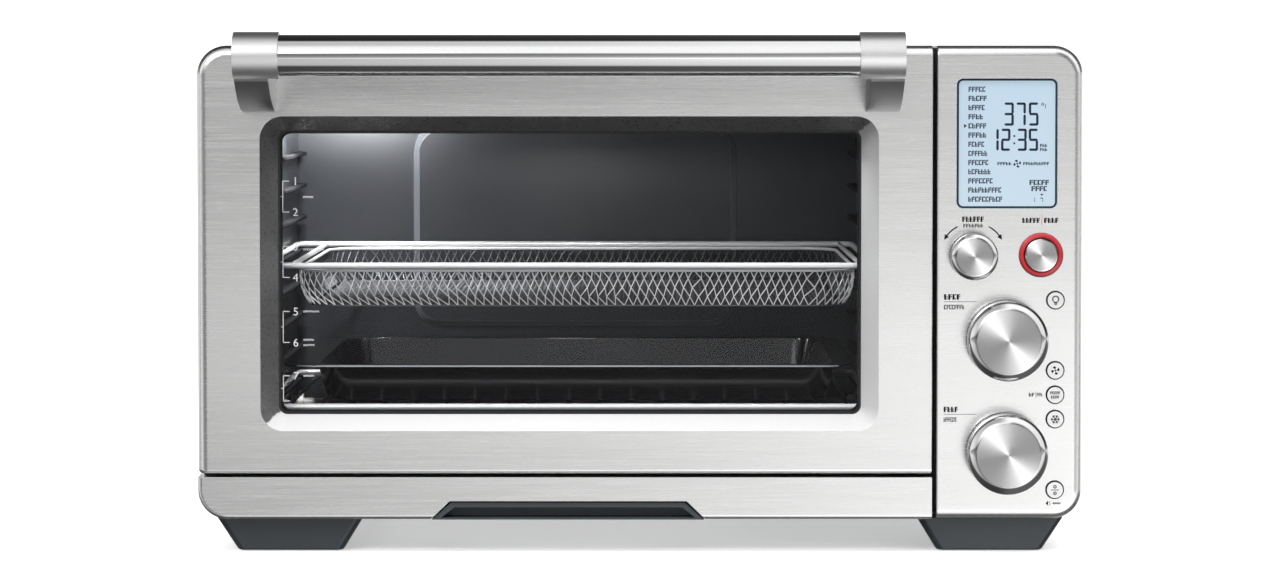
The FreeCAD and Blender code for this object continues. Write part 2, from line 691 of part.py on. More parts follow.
def make_cavity():
    """The five walls of the cooking space."""
    liner = d.liner
    side = (d.cav_front, d.cav_rear, d.cav_low, d.cav_high)
    plate("cavity_left_wall", "YZ", d.cav_left - liner, liner, side)
    right = plate("cavity_right_wall", "YZ", d.cav_right, liner, side,
                  (d.lamp_y, d.lamp_z, d.lamp_r), (-60, 268, 2.7))
    perforate(right)
    plate("cavity_roof", "XY", d.cav_high, liner,
          (d.cav_left - liner, d.cav_right + liner, d.cav_front, d.cav_rear))
    rear = plate("cavity_rear_wall", "XZ", d.cav_rear, liner,
                 (d.cav_left - liner, d.cav_right + liner, d.cav_low - liner, d.cav_high + liner))
    emboss_rear_wall(rear)
    mouth = (d.tray_left + 4, d.tray_right - 4, d.tray_front + 4, d.tray_rear - 11)
    floor = plate("cavity_floor", "XY", d.cav_low - liner, liner,
                  (d.cav_left - liner, d.cav_right + liner, d.cav_front, d.cav_rear), mouth)
    chute = new_sketch(floor, "XY", d.body_low + 1.5)
    rectangle(chute, mouth[0] - 1, mouth[1] + 1, mouth[2] - 1, mouth[3] + 1)
    rectangle(chute, *mouth)
    extrude(floor, chute, "XY", d.cav_low - liner - d.body_low - 1.5)


def perforate(wall):
    """Seven rows of round vents in front of the fan, longest in the middle."""
    rows = 7
    for row in range(rows):
        steps = row - rows // 2
        reach = 50 - 6 * abs(steps)
        sketch = new_sketch(wall, "YZ", d.cav_right - 1)
        circle(sketch, d.fan_y - reach, d.fan_z + d.vent_pitch * steps, d.vent_r)
        hole = cut(wall, sketch, "YZ", 3)
        pattern(wall, hole, "Y", 2 * reach, 2 * (reach // 11) + 1)


def emboss_rear_wall(body):
    """A shallow raised field pressed into the rear wall."""
    left, right, low, high, bend, rise = -160, 68, 116, 258, 18, 4
    loft(body, "XZ",
         (d.cav_rear - rise, left + rise, right - rise, low + rise, high - rise, bend - rise),
         (d.cav_rear, left, right, low, high, bend))


def make_rack_guides():
    """Eight pressed ledges on each side wall."""
    solids = []
    deep, tall = num(d.guide_deep), num(d.guide_tall)
    left, right = num(d.cav_left) + 0.05, num(d.cav_right) - 0.05
    front, rear = num(d.cav_front) + 15, num(d.cav_rear) - 9
    for level in range(int(num(d.levels))):
        top = num(d.level_low) + level * num(d.level_pitch)
        solids.append(brick(left, left + deep, front, rear, top - tall, top))
        solids.append(brick(right - deep, right, front, rear, top - tall, top))
    direct("rack_guides", solids)


def make_heaters():
    """Quartz tubes above and below the food, and the ceramic caps that hold their ends."""
    caps = []
    left, right = num(d.cav_left) + 0.1, num(d.cav_right) - 0.1
    tube_r, cap_r, cap_long = num(d.tube_r), num(d.tube_r) + 2.5, 9
    for label, (up, places) in HEATERS.items():
        tubes = []
        for along in places:
            tubes.append(rod(Vector(left + 1.5, along, up), Vector(right - 1.5, along, up), tube_r))
            bore = rod(Vector(left + 1.4, along, up), Vector(right - 1.4, along, up), tube_r + 0.05)
            for start, end in ((left, left + cap_long), (right - cap_long, right)):
                cap = rod(Vector(start, along, up), Vector(end, along, up), cap_r)
                caps.append(cap.cut(bore))
        direct(label, tubes)
    direct("heater_end_caps", caps)


def make_lamp_and_probe():
    """Oven lamp with its glass cover, and the temperature probe."""
    plate("lamp_lens", "YZ", d.cav_right - 3.5, 3.4, (d.lamp_y, d.lamp_z, d.lamp_r + 3))
    plate("lamp_bulb", "YZ", d.cav_right + 2, 22, (d.lamp_y, d.lamp_z, d.lamp_r - 3))
    base = brick(num(d.cav_right) + 1.1, num(d.cav_right) + 4, -66, -54, 262, 274)
    stem = rod(Vector(110, -60, 268), Vector(num(d.cav_right) + 4, -60, 268), 2.5)
    direct("temperature_probe", [fused([base, stem])])


def make_fan():
    """Convection fan in its chamber beside the cavity, driven by a motor behind the partition."""
    across, along, up = num(d.cav_right), num(d.fan_y), num(d.fan_z)
    def at(offset):
        return Vector(across + offset, along, up)
    half, depth, sheet_wall = 75, 27, 1
    outside = brick(across + 1.1, across + depth, along - half, along + half, up - half, up + half)
    half = half - sheet_wall
    inside = brick(across + 1.0, across + depth - sheet_wall, along - half, along + half,
                   up - half, up + half)
    bore = rod(at(20), at(40), 4)
    direct("fan_housing", [outside.cut(inside).cut(bore)])
    hub_r, disc_r, blade_count = 11, 52, 8
    blades = [rod(at(6), at(20), hub_r), rod(at(17), at(18.2), disc_r)]
    for index in range(blade_count):
        blade = brick(across + 6, across + 17.5, along + hub_r - 3, along + disc_r, up - 0.7, up + 0.7)
        blade.rotate(Vector(across, along, up), Vector(1, 0, 0), 360.0 / blade_count * index + 10)
        blades.append(blade)
    shaft_r = num(d.shaft_r)
    direct("convection_fan", [fused(blades).cut(rod(at(9), at(21), shaft_r + 0.05))])
    motor_r = 30
    can = rod(at(32.5), at(66), motor_r)
    foot = brick(across + 32.5, across + 34, along - 40, along + 40, up - 12, up + 12)
    direct("fan_motor", [fused([can, foot, rod(at(10), at(33), shaft_r)])])
    plate("partition_wall", "YZ", d.cav_right + 29, 1.0,
          (d.cav_front + 2, d.wrap_rear - 4, d.body_low + 3, d.body_high - 3),
          (d.fan_y, d.fan_z, d.shaft_r + 2))


def make_electronics():
    """Power board, control board, display and encoders behind the fascia."""
    front = num(d.board_y)
    board = brick(190, 266, front, front + 1.6, 34, 306)
    switches = [brick(num(d.button_x) - 3, num(d.button_x) + 3, front - 3.4, front, up - 3, up + 3)
                for up in BUTTON_HEIGHTS.values()]
    start_x, start_z = num(d.start_x), num(d.start_z)
    switches.append(brick(start_x - 3, start_x + 3, front - 3.4, front, start_z - 3, start_z + 3))
    direct("control_board", [fused([board] + switches)])
    encoders = []
    for across, up, fixed in ((num(d.select_x), num(d.select_z), False),
                              (num(d.knob_x), num(d.temp_z), True),
                              (num(d.knob_x), num(d.time_z), True)):
        case = brick(across - 6, across + 6, front - 6.5, front - 0.05, up - 6, up + 6)
        if fixed:
            shaft = rod(Vector(across, front - 6, up), Vector(across, -164, up), num(d.shaft_r))
            encoders.append(fused([case, shaft]))
        else:
            bore = rod(Vector(across, front - 7, up), Vector(across, front - 1.5, up),
                       num(d.shaft_r) + 0.05)
            encoders.append(case.cut(bore))
    direct("rotary_encoders", encoders)
    plate("lcd_module", "XZ", d.front_y + d.wall + 0.2, 7,
          (d.lcd_left - 2, d.lcd_right + 3, d.lcd_low - 3, d.lcd_high + 3, 2))
    plate("lcd_window", "XZ", d.front_y + 0.8, 1.6,
          (d.lcd_left + 0.15, d.lcd_right - 0.15, d.lcd_low + 0.15, d.lcd_high - 0.15,
           d.lcd_corner - 0.1))
    card = brick(262, 263.6, -60, 130, 60, 250)
    lumps = [brick(228, 262, 60, 104, 80, 120), brick(242, 262, -40, -16, 180, 200),
             brick(242, 262, -8, 16, 180, 200), brick(248, 262, -45, -20, 90, 140),
             brick(250, 262, 80, 120, 200, 235), rod(Vector(240, 30, 110), Vector(262, 30, 110), 11)]
    direct("power_board", [fused([card] + lumps)])


# ---------------------------------------------------------------- knobs and buttons

def make_knobs():
    """Three turning knobs: conical metal caps with a wide bright foot."""
    face = d.front_y - 0.6
    for label, across, up, foot, top, tall in (
        ("temp_knob", d.knob_x, d.temp_z, 24.5, 19.5, 20),
        ("time_knob", d.knob_x, d.time_z, 24.5, 19.5, 20),
        ("select_knob", d.select_x, d.select_z, 14.4, 11.3, 13),
    ):
        travel = d.push_travel if label == "select_knob" else size(0)
        base = face - travel
        bore = d.shaft_r + 0.05
        turned(label, across, up, [
            (bore, base), (foot, base), (foot, base - 2), (foot - 2.2, base - 4),
            (top + 0.6, base - tall + 1), (top, base - tall), (0, base - tall - 0.6),
            (0, d.front_y - 9.5), (bore, d.front_y - 9.5)])
    front = d.front_y
    turned("select_shaft", d.select_x, d.select_z, [
        (0, front - 9.2), (d.shaft_r, front - 9.2), (d.shaft_r, d.board_y - 3.5),
        (0, d.board_y - 3.5)])


def make_buttons():
    """Push buttons held behind the fascia by a flange, and the lit ring round the start button."""
    inner = d.front_y + d.wall
    switch = d.board_y - 3.4 - d.push_travel - 0.2
    for label, up in BUTTON_HEIGHTS.items():
        turned(label, d.button_x, up, [
            (0, d.front_y - 1.6), (d.button_r - 0.5, d.front_y - 1.5), (d.button_r, d.front_y - 1.0),
            (d.button_r, inner + 0.1), (d.button_r + 1.2, inner + 0.1),
            (d.button_r + 1.2, inner + 1.3), (2, inner + 1.3), (2, switch), (0, switch)])
    turned("start_stop_button", d.start_x, d.start_z, [
        (0, d.front_y - 4.0), (9.4, d.front_y - 4.0), (10.2, d.front_y - 3.2), (10.2, inner + 0.4),
        (4, inner + 0.4), (4, inner + 4), (2.5, inner + 4), (2.5, switch), (0, switch)])
    turned("light_ring", d.start_x, d.start_z, [
        (10.5, d.front_y - 2.2), (12.4, d.front_y - 2.2), (13.4, d.front_y - 1.2),
        (13.4, inner + 0.2), (15.4, inner + 0.2), (15.4, inner + 2.2), (10.5, inner + 2.2)])


# ---------------------------------------------------------------- racks, pan, basket and tray

def make_wire_rack():
    """Chromed wire shelf: a closed border rail with a row of thin bars welded to it."""
    left, right = num(d.rail_left), num(d.rail_right)
    front, rear = num(d.rail_front), num(d.rack_rear)
    up, pitch = num(d.rack_z), num(d.wire_pitch)
    solids = [ring_wire(left, right, front, rear, up, 9, num(d.rail_r))]
    count = int((right - left) / pitch)
    first = (left + right - (count - 1) * pitch) / 2
    for index in range(count):
        across = first + index * pitch
        solids.append(rod(Vector(across, front - 1, up - 1.7), Vector(across, rear + 1, up - 1.7),
                          num(d.wire_r)))
    direct("wire_rack", [fused(solids)])


def make_basket():
    """Air-fry basket: a wire frame that rides on the ledges and a mesh tray hung from it."""
    left, right = num(d.rail_left), num(d.rail_right)
    front, rear, up = num(d.rail_front), num(d.basket_rear), num(d.basket_z)
    radius = num(d.rail_r) - 0.2
    solids = [ring_wire(left, right, front, rear, up, 9, radius)]
    for across in (num(d.mesh_left) - 2, num(d.mesh_right) + 2):
        solids.append(rod(Vector(across, front, up), Vector(across, rear, up), 1.6))
    direct("basket_frame", [fused(solids)])
    top = d.basket_z - d.rail_r - 0.1
    body = plate("basket_mesh", "XY", d.basket_low, top - d.basket_low,
                 (d.mesh_left, d.mesh_right, d.rail_front + 1, d.basket_rear - 1, d.mesh_bend))
    wall = 1.2
    sketch = new_sketch(body, "XY", d.basket_low + wall)
    rectangle(sketch, d.mesh_left + wall, d.mesh_right - wall, d.rail_front + 1 + wall,
              d.basket_rear - 1 - wall, d.mesh_bend - wall)
    cut(body, sketch, "XY", 40)


def make_roasting_pan():
    """Enamelled pan: sloping sides, a flat floor and a wide flat rim."""
    body = new_body("roasting_pan")
    steel, slope = d.pan_sheet, d.pan_slope
    rim = d.pan_high - steel
    floor = (d.pan_left, d.pan_right, d.pan_front, d.pan_rear, d.pan_bend)
    lip = (d.pan_left - slope, d.pan_right + slope, d.pan_front - slope, d.pan_rear + slope,
           d.pan_bend + 4)
    loft(body, "XY", (d.pan_low, *floor), (rim, *lip))
    sketch = new_sketch(body, "XY", rim)
    rectangle(sketch, d.pan_rim_left, d.pan_rim_right, d.pan_rim_front, d.pan_rim_rear,
              d.pan_bend + 6)
    extrude(body, sketch, "XY", steel)
    def inset(box):
        return (box[0] + steel, box[1] - steel, box[2] + steel, box[3] - steel, box[4] - steel)
    loft(body, "XY", (d.pan_low + steel, *inset(floor)), (d.pan_high, *inset(lip)),
         "PartDesign::SubtractiveLoft")


def make_crumb_tray():
    """Shallow sheet tray under the cavity, its front tongue and the plastic grip."""
    body = plate("crumb_tray", "XY", d.tray_low, d.tray_high - d.tray_low,
                 (d.tray_left, d.tray_right, d.tray_front, d.tray_rear, 5))
    steel = d.tray_sheet
    sketch = new_sketch(body, "XY", d.tray_low + steel)
    rectangle(sketch, d.tray_left + steel, d.tray_right - steel, d.tray_front + steel,
              d.tray_rear - steel, 4.2)
    cut(body, sketch, "XY", 20)
    add_block(body, d.tongue_left, d.tongue_right, d.tongue_front, d.tray_front + 0.5,
              d.tray_high - 1.2, d.tray_high)
    grip = new_body("crumb_tray_grip")
    left, right, low, high = d.grip_left, d.grip_right, d.tray_high + 0.1, d.grip_high
    slope = d.grip_slope
    sketch = new_sketch(grip, "XZ", d.front_y + 1.5)
    polygon(sketch, [(left, low), (right, low), (right - slope, high), (left + slope, high)])
    extrude(grip, sketch, "XZ", d.grip_deep)
    wall = 3.5
    foot, roof = low + 1.2, high - wall
    scoop = new_sketch(grip, "XZ", d.front_y + 1)
    polygon(scoop, [(left + 6.3, foot), (right - 6.3, foot), (right - slope - 2, roof),
                    (left + slope + 2, roof)])
    cut(grip, scoop, "XZ", 12)


# ---------------------------------------------------------------- fittings

def make_fittings():
    """Cord gland, wall spacers and the screws of the rear panel."""
    rear = num(d.wrap_rear + d.sheet)
    def spot(along):
        return Vector(num(d.gland_x), along, num(d.gland_z))
    neck_r, cord_r = num(d.gland_r), 4
    ring = rod(spot(rear), spot(rear + 3.5), neck_r + 3)
    neck = rod(spot(rear - 6), spot(rear), neck_r)
    bore = rod(spot(rear - 7), spot(rear + 5), cord_r)
    direct("cord_gland", [fused([ring, neck]).cut(bore)])
    reach = num(d.rear_reach)
    direct("rear_spacers", [brick(across - 12, across + 12, rear, reach, 215, 245)
                            for across in (-215, 215)])
    screws = []
    for across in (-255, -90, 90, 255):
        for up in (42, 292):
            head = rod(Vector(across, rear, up), Vector(across, rear + 2, up), 4)
            screws.append(head.makeFillet(0.8, [edge for edge in head.Edges
                                                if edge.BoundBox.YMin > rear + 1]))
    direct("cabinet_screws", screws)


def check_and_write():
    """Refuses a failed feature or a bad shape, then writes one STEP file per sub-part."""
    doc.recompute()
    for item in doc.Objects:
        if {"Invalid", "Error"} & set(item.State):
            raise ValueError(f"{item.Label} failed: {item.State}")
    os.makedirs("parts", exist_ok=True)
    for item in PARTS:
        shape = item.Shape
        if shape.isNull() or not shape.isValid():
            raise ValueError(f"{item.Label} has no valid shape")
        shape.exportStep(f"parts/{item.Label}.step")
        print(f"{item.Label}: {len(shape.Solids)} solids, {shape.Volume / 1000:.1f} cm3")


make_outer_wrap()
make_base_pan()
make_rear_panel()
make_front_frame()
make_control_fascia()
make_lower_trim()
make_feet()
make_cavity()
make_rack_guides()
make_heaters()
make_lamp_and_probe()
make_fan()
make_electronics()
drill_handle_holes(make_door_outer_panel())
make_door_inner_frame()
make_door_glass()
make_handle()
make_hinges()
make_knobs()
make_buttons()
make_wire_rack()
make_basket()
make_roasting_pan()
make_crumb_tray()
make_fittings()
check_and_write()
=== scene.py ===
import math

import bmesh
import bpy
import numpy as np
from mathutils import Matrix, Vector


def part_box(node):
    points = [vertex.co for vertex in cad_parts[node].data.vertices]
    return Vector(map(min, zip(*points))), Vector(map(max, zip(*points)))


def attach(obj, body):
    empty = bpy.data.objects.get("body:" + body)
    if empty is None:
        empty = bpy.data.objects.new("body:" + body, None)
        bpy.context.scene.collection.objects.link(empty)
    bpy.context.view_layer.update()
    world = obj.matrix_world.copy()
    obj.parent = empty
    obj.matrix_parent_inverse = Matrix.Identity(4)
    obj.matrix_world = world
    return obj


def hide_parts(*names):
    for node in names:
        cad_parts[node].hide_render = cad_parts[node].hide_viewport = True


# Looks for the toaster oven: metres, X to the right, Y to the rear, Z up.

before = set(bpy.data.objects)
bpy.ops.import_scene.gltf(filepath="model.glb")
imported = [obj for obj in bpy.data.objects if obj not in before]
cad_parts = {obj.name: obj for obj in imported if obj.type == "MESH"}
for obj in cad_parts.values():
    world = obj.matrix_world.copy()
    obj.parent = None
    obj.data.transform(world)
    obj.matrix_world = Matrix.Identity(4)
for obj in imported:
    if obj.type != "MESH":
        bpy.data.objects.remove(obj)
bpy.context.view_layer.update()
MM = 0.001


def node_box(node):
    """Lowest and highest corner of a CAD node, in millimetres."""
    low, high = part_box(node)
    return low / MM, high / MM


def centre_of(node):
    """X and Z of a CAD node's middle, in millimetres."""
    low, high = node_box(node)
    return (low.x + high.x) / 2, (low.z + high.z) / 2


# ---------------------------------------------------------------- materials

NOISE_RANGE = (0.3, 0.7)
SATIN_GRAIN = 600.0


def new_material(name):
    """An empty node material with its Principled shader."""
    material = bpy.data.materials.new(name)
    material.use_nodes = True
    return material, material.node_tree, material.node_tree.nodes["Principled BSDF"]


def add(tree, kind, **settings):
    """Adds a node, setting its properties, or its inputs where the name has a capital."""
    node = tree.nodes.new(kind)
    for key, value in settings.items():
        if hasattr(node, key):
            setattr(node, key, value)
        else:
            node.inputs[key.replace("_", " ")].default_value = value
    return node


def local_point(tree, scale=(1, 1, 1), turn=(0, 0, 0)):
    """The piece's own coordinates, scaled, for a texture that moves with it."""
    where = add(tree, "ShaderNodeTexCoord")
    mapping = add(tree, "ShaderNodeMapping")
    mapping.inputs["Scale"].default_value = scale
    mapping.inputs["Rotation"].default_value = turn
    tree.links.new(where.outputs["Object"], mapping.inputs["Vector"])
    return mapping.outputs["Vector"]


def noise(tree, vector, scale, detail=3.0, rough=0.6):
    node = add(tree, "ShaderNodeTexNoise", Scale=scale, Detail=detail, Roughness=rough)
    tree.links.new(vector, node.inputs["Vector"])
    return node.outputs["Fac"]


def map_range(tree, value, given, wanted=(0, 1), curve="LINEAR"):
    """Maps a value from one range to another."""
    node = add(tree, "ShaderNodeMapRange", interpolation_type=curve)
    for socket, number in zip(("From Min", "From Max", "To Min", "To Max"), (*given, *wanted)):
        node.inputs[socket].default_value = number
    tree.links.new(value, node.inputs["Value"])
    return node.outputs["Result"]


def spread(tree, value, low, high):
    """Maps the range that most noise lies in to another."""
    return map_range(tree, value, NOISE_RANGE, (low, high))


def shades(tree, value, dark, light):
    """A colour between two by a texture value."""
    node = add(tree, "ShaderNodeMix", data_type="RGBA")
    node.inputs[6].default_value = (*dark, 1)
    node.inputs[7].default_value = (*light, 1)
    tree.links.new(value, node.inputs["Factor"])
    return node.outputs[2]


def feed(tree, socket, value):
    """Links a socket to another node's, or sets it to a plain value."""
    if isinstance(value, bpy.types.NodeSocket):
        tree.links.new(value, socket)
    else:
        socket.default_value = value


def maths(tree, operation, *values, kind="ShaderNodeMath"):
    """The result of a Math or Vector Math node."""
    node = add(tree, kind, operation=operation)
    for socket, value in zip(node.inputs, values):
        feed(tree, socket, value)
    return node.outputs[0]


def vector_length(tree, vector):
    node = add(tree, "ShaderNodeVectorMath", operation="LENGTH")
    tree.links.new(vector, node.inputs[0])
    return node.outputs["Value"]


def blend(tree, factor, first, second):
    """A value between two; the factor is the second one's share."""
    node = add(tree, "ShaderNodeMix", data_type="FLOAT")
    for name, value in (("Factor", factor), ("A", first), ("B", second)):
        feed(tree, node.inputs[name], value)
    return node.outputs["Result"]


def bump(tree, shader, height, strength, distance):
    node = add(tree, "ShaderNodeBump", Strength=strength, Distance=distance)
    tree.links.new(height, node.inputs["Height"])
    tree.links.new(node.outputs["Normal"], shader.inputs["Normal"])


def brushed_metal(name, along, dark, light, rough, anisotropic=0.5):
    """Stainless sheet with fine scratches running along one axis."""
    material, tree, shader = new_material(name)
    fine_across, fine_along, broad_across, broad_along = 1500.0, 22.0, 45.0, 2.5
    cloud_share = 0.45
    fine = [fine_along if axis == along else fine_across for axis in "XYZ"]
    broad = [broad_along if axis == along else broad_across for axis in "XYZ"]
    scratches = noise(tree, local_point(tree, fine), 1.0, 4.0, 0.7)
    clouds = noise(tree, local_point(tree, broad), 1.0, 2.0)
    both = blend(tree, cloud_share, scratches, clouds)
    tree.links.new(shades(tree, spread(tree, both, 0, 1), dark, light), shader.inputs["Base Color"])
    tree.links.new(spread(tree, scratches, rough - 0.03, rough + 0.04), shader.inputs["Roughness"])
    shader.inputs["Metallic"].default_value = 1.0
    shader.inputs["Anisotropic"].default_value = anisotropic
    shader.inputs["Anisotropic Rotation"].default_value = 0.25
    bump(tree, shader, scratches, strength=0.035, distance=0.0001)
    return material


def spun_metal(name, tone, rough):
    """Metal turned on a lathe about Y: rings of fine scratches and a radial tangent."""
    material, tree, shader = new_material(name)
    tangent = add(tree, "ShaderNodeTangent", direction_type="RADIAL", axis="Y")
    tree.links.new(tangent.outputs["Tangent"], shader.inputs["Tangent"])
    where = add(tree, "ShaderNodeTexCoord")
    vector = "ShaderNodeVectorMath"
    box_middle, across_axis, ring_grain = (0.5, 0.5, 0.5), (1, 0, 1), 170.0
    middle = maths(tree, "SUBTRACT", where.outputs["Generated"], box_middle, kind=vector)
    flat = maths(tree, "MULTIPLY", middle, across_axis, kind=vector)
    ring = add(tree, "ShaderNodeCombineXYZ")
    tree.links.new(vector_length(tree, flat), ring.inputs["X"])
    rings = noise(tree, ring.outputs[0], ring_grain, 4.0, 0.8)
    tree.links.new(shades(tree, spread(tree, rings, 0, 1), [0.9 * c for c in tone], tone),
                   shader.inputs["Base Color"])
    tree.links.new(spread(tree, rings, rough - 0.03, rough + 0.03), shader.inputs["Roughness"])
    shader.inputs["Metallic"].default_value = 1.0
    shader.inputs["Anisotropic"].default_value = 0.97
    shader.inputs["Anisotropic Rotation"].default_value = 0.25
    bump(tree, shader, rings, strength=0.04, distance=0.0001)
    return material


def smooth_metal(name, tone, rough, metallic=1.0):
    """Polished or satin metal with faint uneven gloss."""
    material, tree, shader = new_material(name)
    smudge = noise(tree, local_point(tree), SATIN_GRAIN, 3.0)
    tree.links.new(shades(tree, spread(tree, smudge, 0, 1), [0.97 * c for c in tone], tone),
                   shader.inputs["Base Color"])
    tree.links.new(spread(tree, smudge, rough * 0.96, rough * 1.04), shader.inputs["Roughness"])
    shader.inputs["Metallic"].default_value = metallic
    return material


def coated(name, tone, rough, grain, depth, speckle=0.15, coat=0.0):
    """Paint, enamel, rubber or moulded plastic: a fine-grained surface of one colour."""
    material, tree, shader = new_material(name)
    grains = noise(tree, local_point(tree), grain, 4.0, 0.65)
    broad = noise(tree, local_point(tree), 14.0, 2.0)
    light = [c * (1 + speckle) for c in tone]
    dark = [c * (1 - speckle) for c in tone]
    tree.links.new(shades(tree, spread(tree, broad, 0, 1), dark, light), shader.inputs["Base Color"])
    tree.links.new(spread(tree, broad, rough - 0.03, rough + 0.04), shader.inputs["Roughness"])
    shader.inputs["Coat Weight"].default_value = coat
    shader.inputs["Coat Roughness"].default_value = 0.08
    bump(tree, shader, grains, 0.25, depth)
    return material


def clear_glass(name, tint, gloss=0.9):
    """A clear pane, glossy only on the faces that light enters by."""
    material, tree, shader = new_material(name)
    tree.nodes.remove(shader)
    see = add(tree, "ShaderNodeBsdfTransparent")
    see.inputs["Color"].default_value = (*tint, 1)
    shine = add(tree, "ShaderNodeBsdfGlossy")
    smudge = noise(tree, local_point(tree), 9.0, 2.0)
    tree.links.new(spread(tree, smudge, 0.02, 0.05), shine.inputs["Roughness"])
    shine.inputs["Color"].default_value = (gloss, gloss, gloss, 1)
    edge = add(tree, "ShaderNodeFresnel", IOR=1.5)
    side = add(tree, "ShaderNodeNewGeometry")
    entering = maths(tree, "SUBTRACT", 1.0, side.outputs["Backfacing"])
    mix = add(tree, "ShaderNodeMixShader")
    tree.links.new(maths(tree, "MULTIPLY", edge.outputs["Fac"], entering), mix.inputs["Fac"])
    tree.links.new(see.outputs[0], mix.inputs[1])
    tree.links.new(shine.outputs[0], mix.inputs[2])
    out = [node for node in tree.nodes if node.type == "OUTPUT_MATERIAL"][0]
    tree.links.new(mix.outputs[0], out.inputs["Surface"])
    return material


def glowing(name, low_tone, high_tone, low, high, strength):
    """A backlit panel whose tone runs from its lower to its upper edge, in soft patches."""
    material, tree, shader = new_material(name)
    split = add(tree, "ShaderNodeSeparateXYZ")
    tree.links.new(local_point(tree), split.inputs[0])
    height = map_range(tree, split.outputs["Z"], (low, high))
    patch = noise(tree, local_point(tree), 26.0, 1.0)
    patch_share = 0.25
    colour = shades(tree, blend(tree, patch_share, height, patch), low_tone, high_tone)
    shader.inputs["Base Color"].default_value = (0.12, 0.15, 0.18, 1)
    tree.links.new(colour, shader.inputs["Emission Color"])
    shader.inputs["Emission Strength"].default_value = strength
    shader.inputs["Roughness"].default_value = 0.35
    return material


def ink(name, tone, rough=0.5):
    """Printed ink with a faintly uneven film and little gloss."""
    material = coated(name, tone, rough, 900.0, 0.00002, 0.08)
    shader = material.node_tree.nodes["Principled BSDF"]
    shader.inputs["Specular IOR Level"].default_value = 0.1
    return material


STEEL = brushed_metal("brushed_stainless", "X", (0.80, 0.80, 0.795), (0.86, 0.86, 0.855), 0.25, 0.1)
WRAP_STEEL = brushed_metal("wrap_stainless", "Y", (0.78, 0.78, 0.775), (0.84, 0.84, 0.835), 0.36)
BEVEL_STEEL = smooth_metal("satin_stainless", (0.67, 0.67, 0.67), 0.22, metallic=0.3)
# A darker copy of the bevel's satin: painted shade on the window bevel's faces turned right or down.
BEVEL_PAINTED_SHADE = smooth_metal("satin_stainless_painted_shade", (0.24, 0.24, 0.24), 0.28, metallic=0.7)
POLISHED = smooth_metal("polished_stainless", (0.66, 0.66, 0.665), 0.09)
BRACKET = smooth_metal("bracket_satin", (0.72, 0.72, 0.72), 0.42)
# A darker copy of the bracket satin: painted shade on the legs below the caps.
LEG_PAINTED_SHADE = smooth_metal("bracket_leg_painted_shade", (0.30, 0.30, 0.31), 0.45)
SPUN = spun_metal("spun_stainless", (0.80, 0.80, 0.80), 0.50)
CHROME = smooth_metal("chromed_wire", (0.92, 0.92, 0.93), 0.26, metallic=0.45)
LATTICE = smooth_metal("lattice_wire", (0.92, 0.92, 0.93), 0.34, metallic=0.3)
# A dark copy of the lattice wire: painted shade on the basket's rear strands, floor and bottom ring.
LATTICE_PAINTED_SHADE = smooth_metal("lattice_wire_painted_shade", (0.20, 0.20, 0.21), 0.60)
# A darker copy of the rack wire: painted shade on the cross rods under the pan.
ROD_WIRE_PAINTED_SHADE = smooth_metal("rack_rod_painted_shade", (0.30, 0.30, 0.31), 0.35)
# A lighter metallic copy for the front edge of the pan's rim: painted highlight.
RIM_PAINTED_HIGHLIGHT = smooth_metal("rim_painted_highlight", (0.62, 0.62, 0.63), 0.30, metallic=0.6)
GALVANISED = smooth_metal("galvanised_steel", (0.55, 0.56, 0.58), 0.42)
ALUMINIUM = smooth_metal("tray_aluminium", (0.72, 0.73, 0.74), 0.34)
ENAMEL = coated("black_enamel", (0.005, 0.005, 0.006), 0.17, 2500.0, 0.000002, 0.2, 0.4)
FRAME_BLACK = coated("frame_black", (0.006, 0.006, 0.007), 0.5, 320.0, 0.00004)
LINER = coated("cavity_coating", (0.027, 0.029, 0.033), 0.34, 1500.0, 0.000002, 0.08)
# A lighter copy of the cavity coating: painted highlight on the emboss's sloping edge.
EMBOSS_PAINTED_HIGHLIGHT = coated("embossed_edge_painted_highlight", (0.15, 0.155, 0.17), 0.3, 1500.0, 0.000002, 0.08)
RUBBER = coated("seal_rubber", (0.008, 0.008, 0.009), 0.6, 500.0, 0.00006)
SLATE = coated("slate_plastic", (0.036, 0.043, 0.048), 0.40, 900.0, 0.00008, 0.08)
CERAMIC = coated("ceramic", (0.75, 0.73, 0.68), 0.35, 300.0, 0.00005)
BOARD = coated("circuit_board", (0.02, 0.12, 0.05), 0.45, 200.0, 0.00005, 0.3)
RED = coated("red_ring", (0.40, 0.016, 0.024), 0.30, 1500.0, 0.00001, 0.05, 0.2)
KEY = smooth_metal("key_paint", (0.84, 0.84, 0.84), 0.36)
QUARTZ = coated("quartz_glass", (0.62, 0.58, 0.54), 0.3, 60.0, 0.00004)
GLASS = clear_glass("clear_glass", (0.93, 0.935, 0.94), 0.22)
LENS = clear_glass("display_window", (0.98, 0.985, 0.99), 0.5)
LCD_LOW, LCD_HIGH = (c.z * MM for c in node_box("lcd_module"))
BACKLIGHT = glowing("display_panel", (0.68, 0.82, 0.91), (0.58, 0.74, 0.87), LCD_LOW, LCD_HIGH, 0.72)
LCD_INK = ink("display_ink", (0.012, 0.022, 0.042))
BORDER_INK = ink("border_ink", (0.02, 0.03, 0.045), 0.3)
BLACK_INK = ink("black_ink", (0.008, 0.008, 0.008))
GREY_INK = ink("grey_ink", (0.05, 0.05, 0.05))
WHITE_INK = ink("white_ink", (0.66, 0.66, 0.67))
# The rack guides take a darker, matt tone than the cavity coating: painted shade.
GUIDE_PAINTED_SHADE = ink("rack_guide_painted_shade", (0.012, 0.012, 0.014), 0.8)
RED_INK = ink("red_ink", (0.45, 0.03, 0.03))

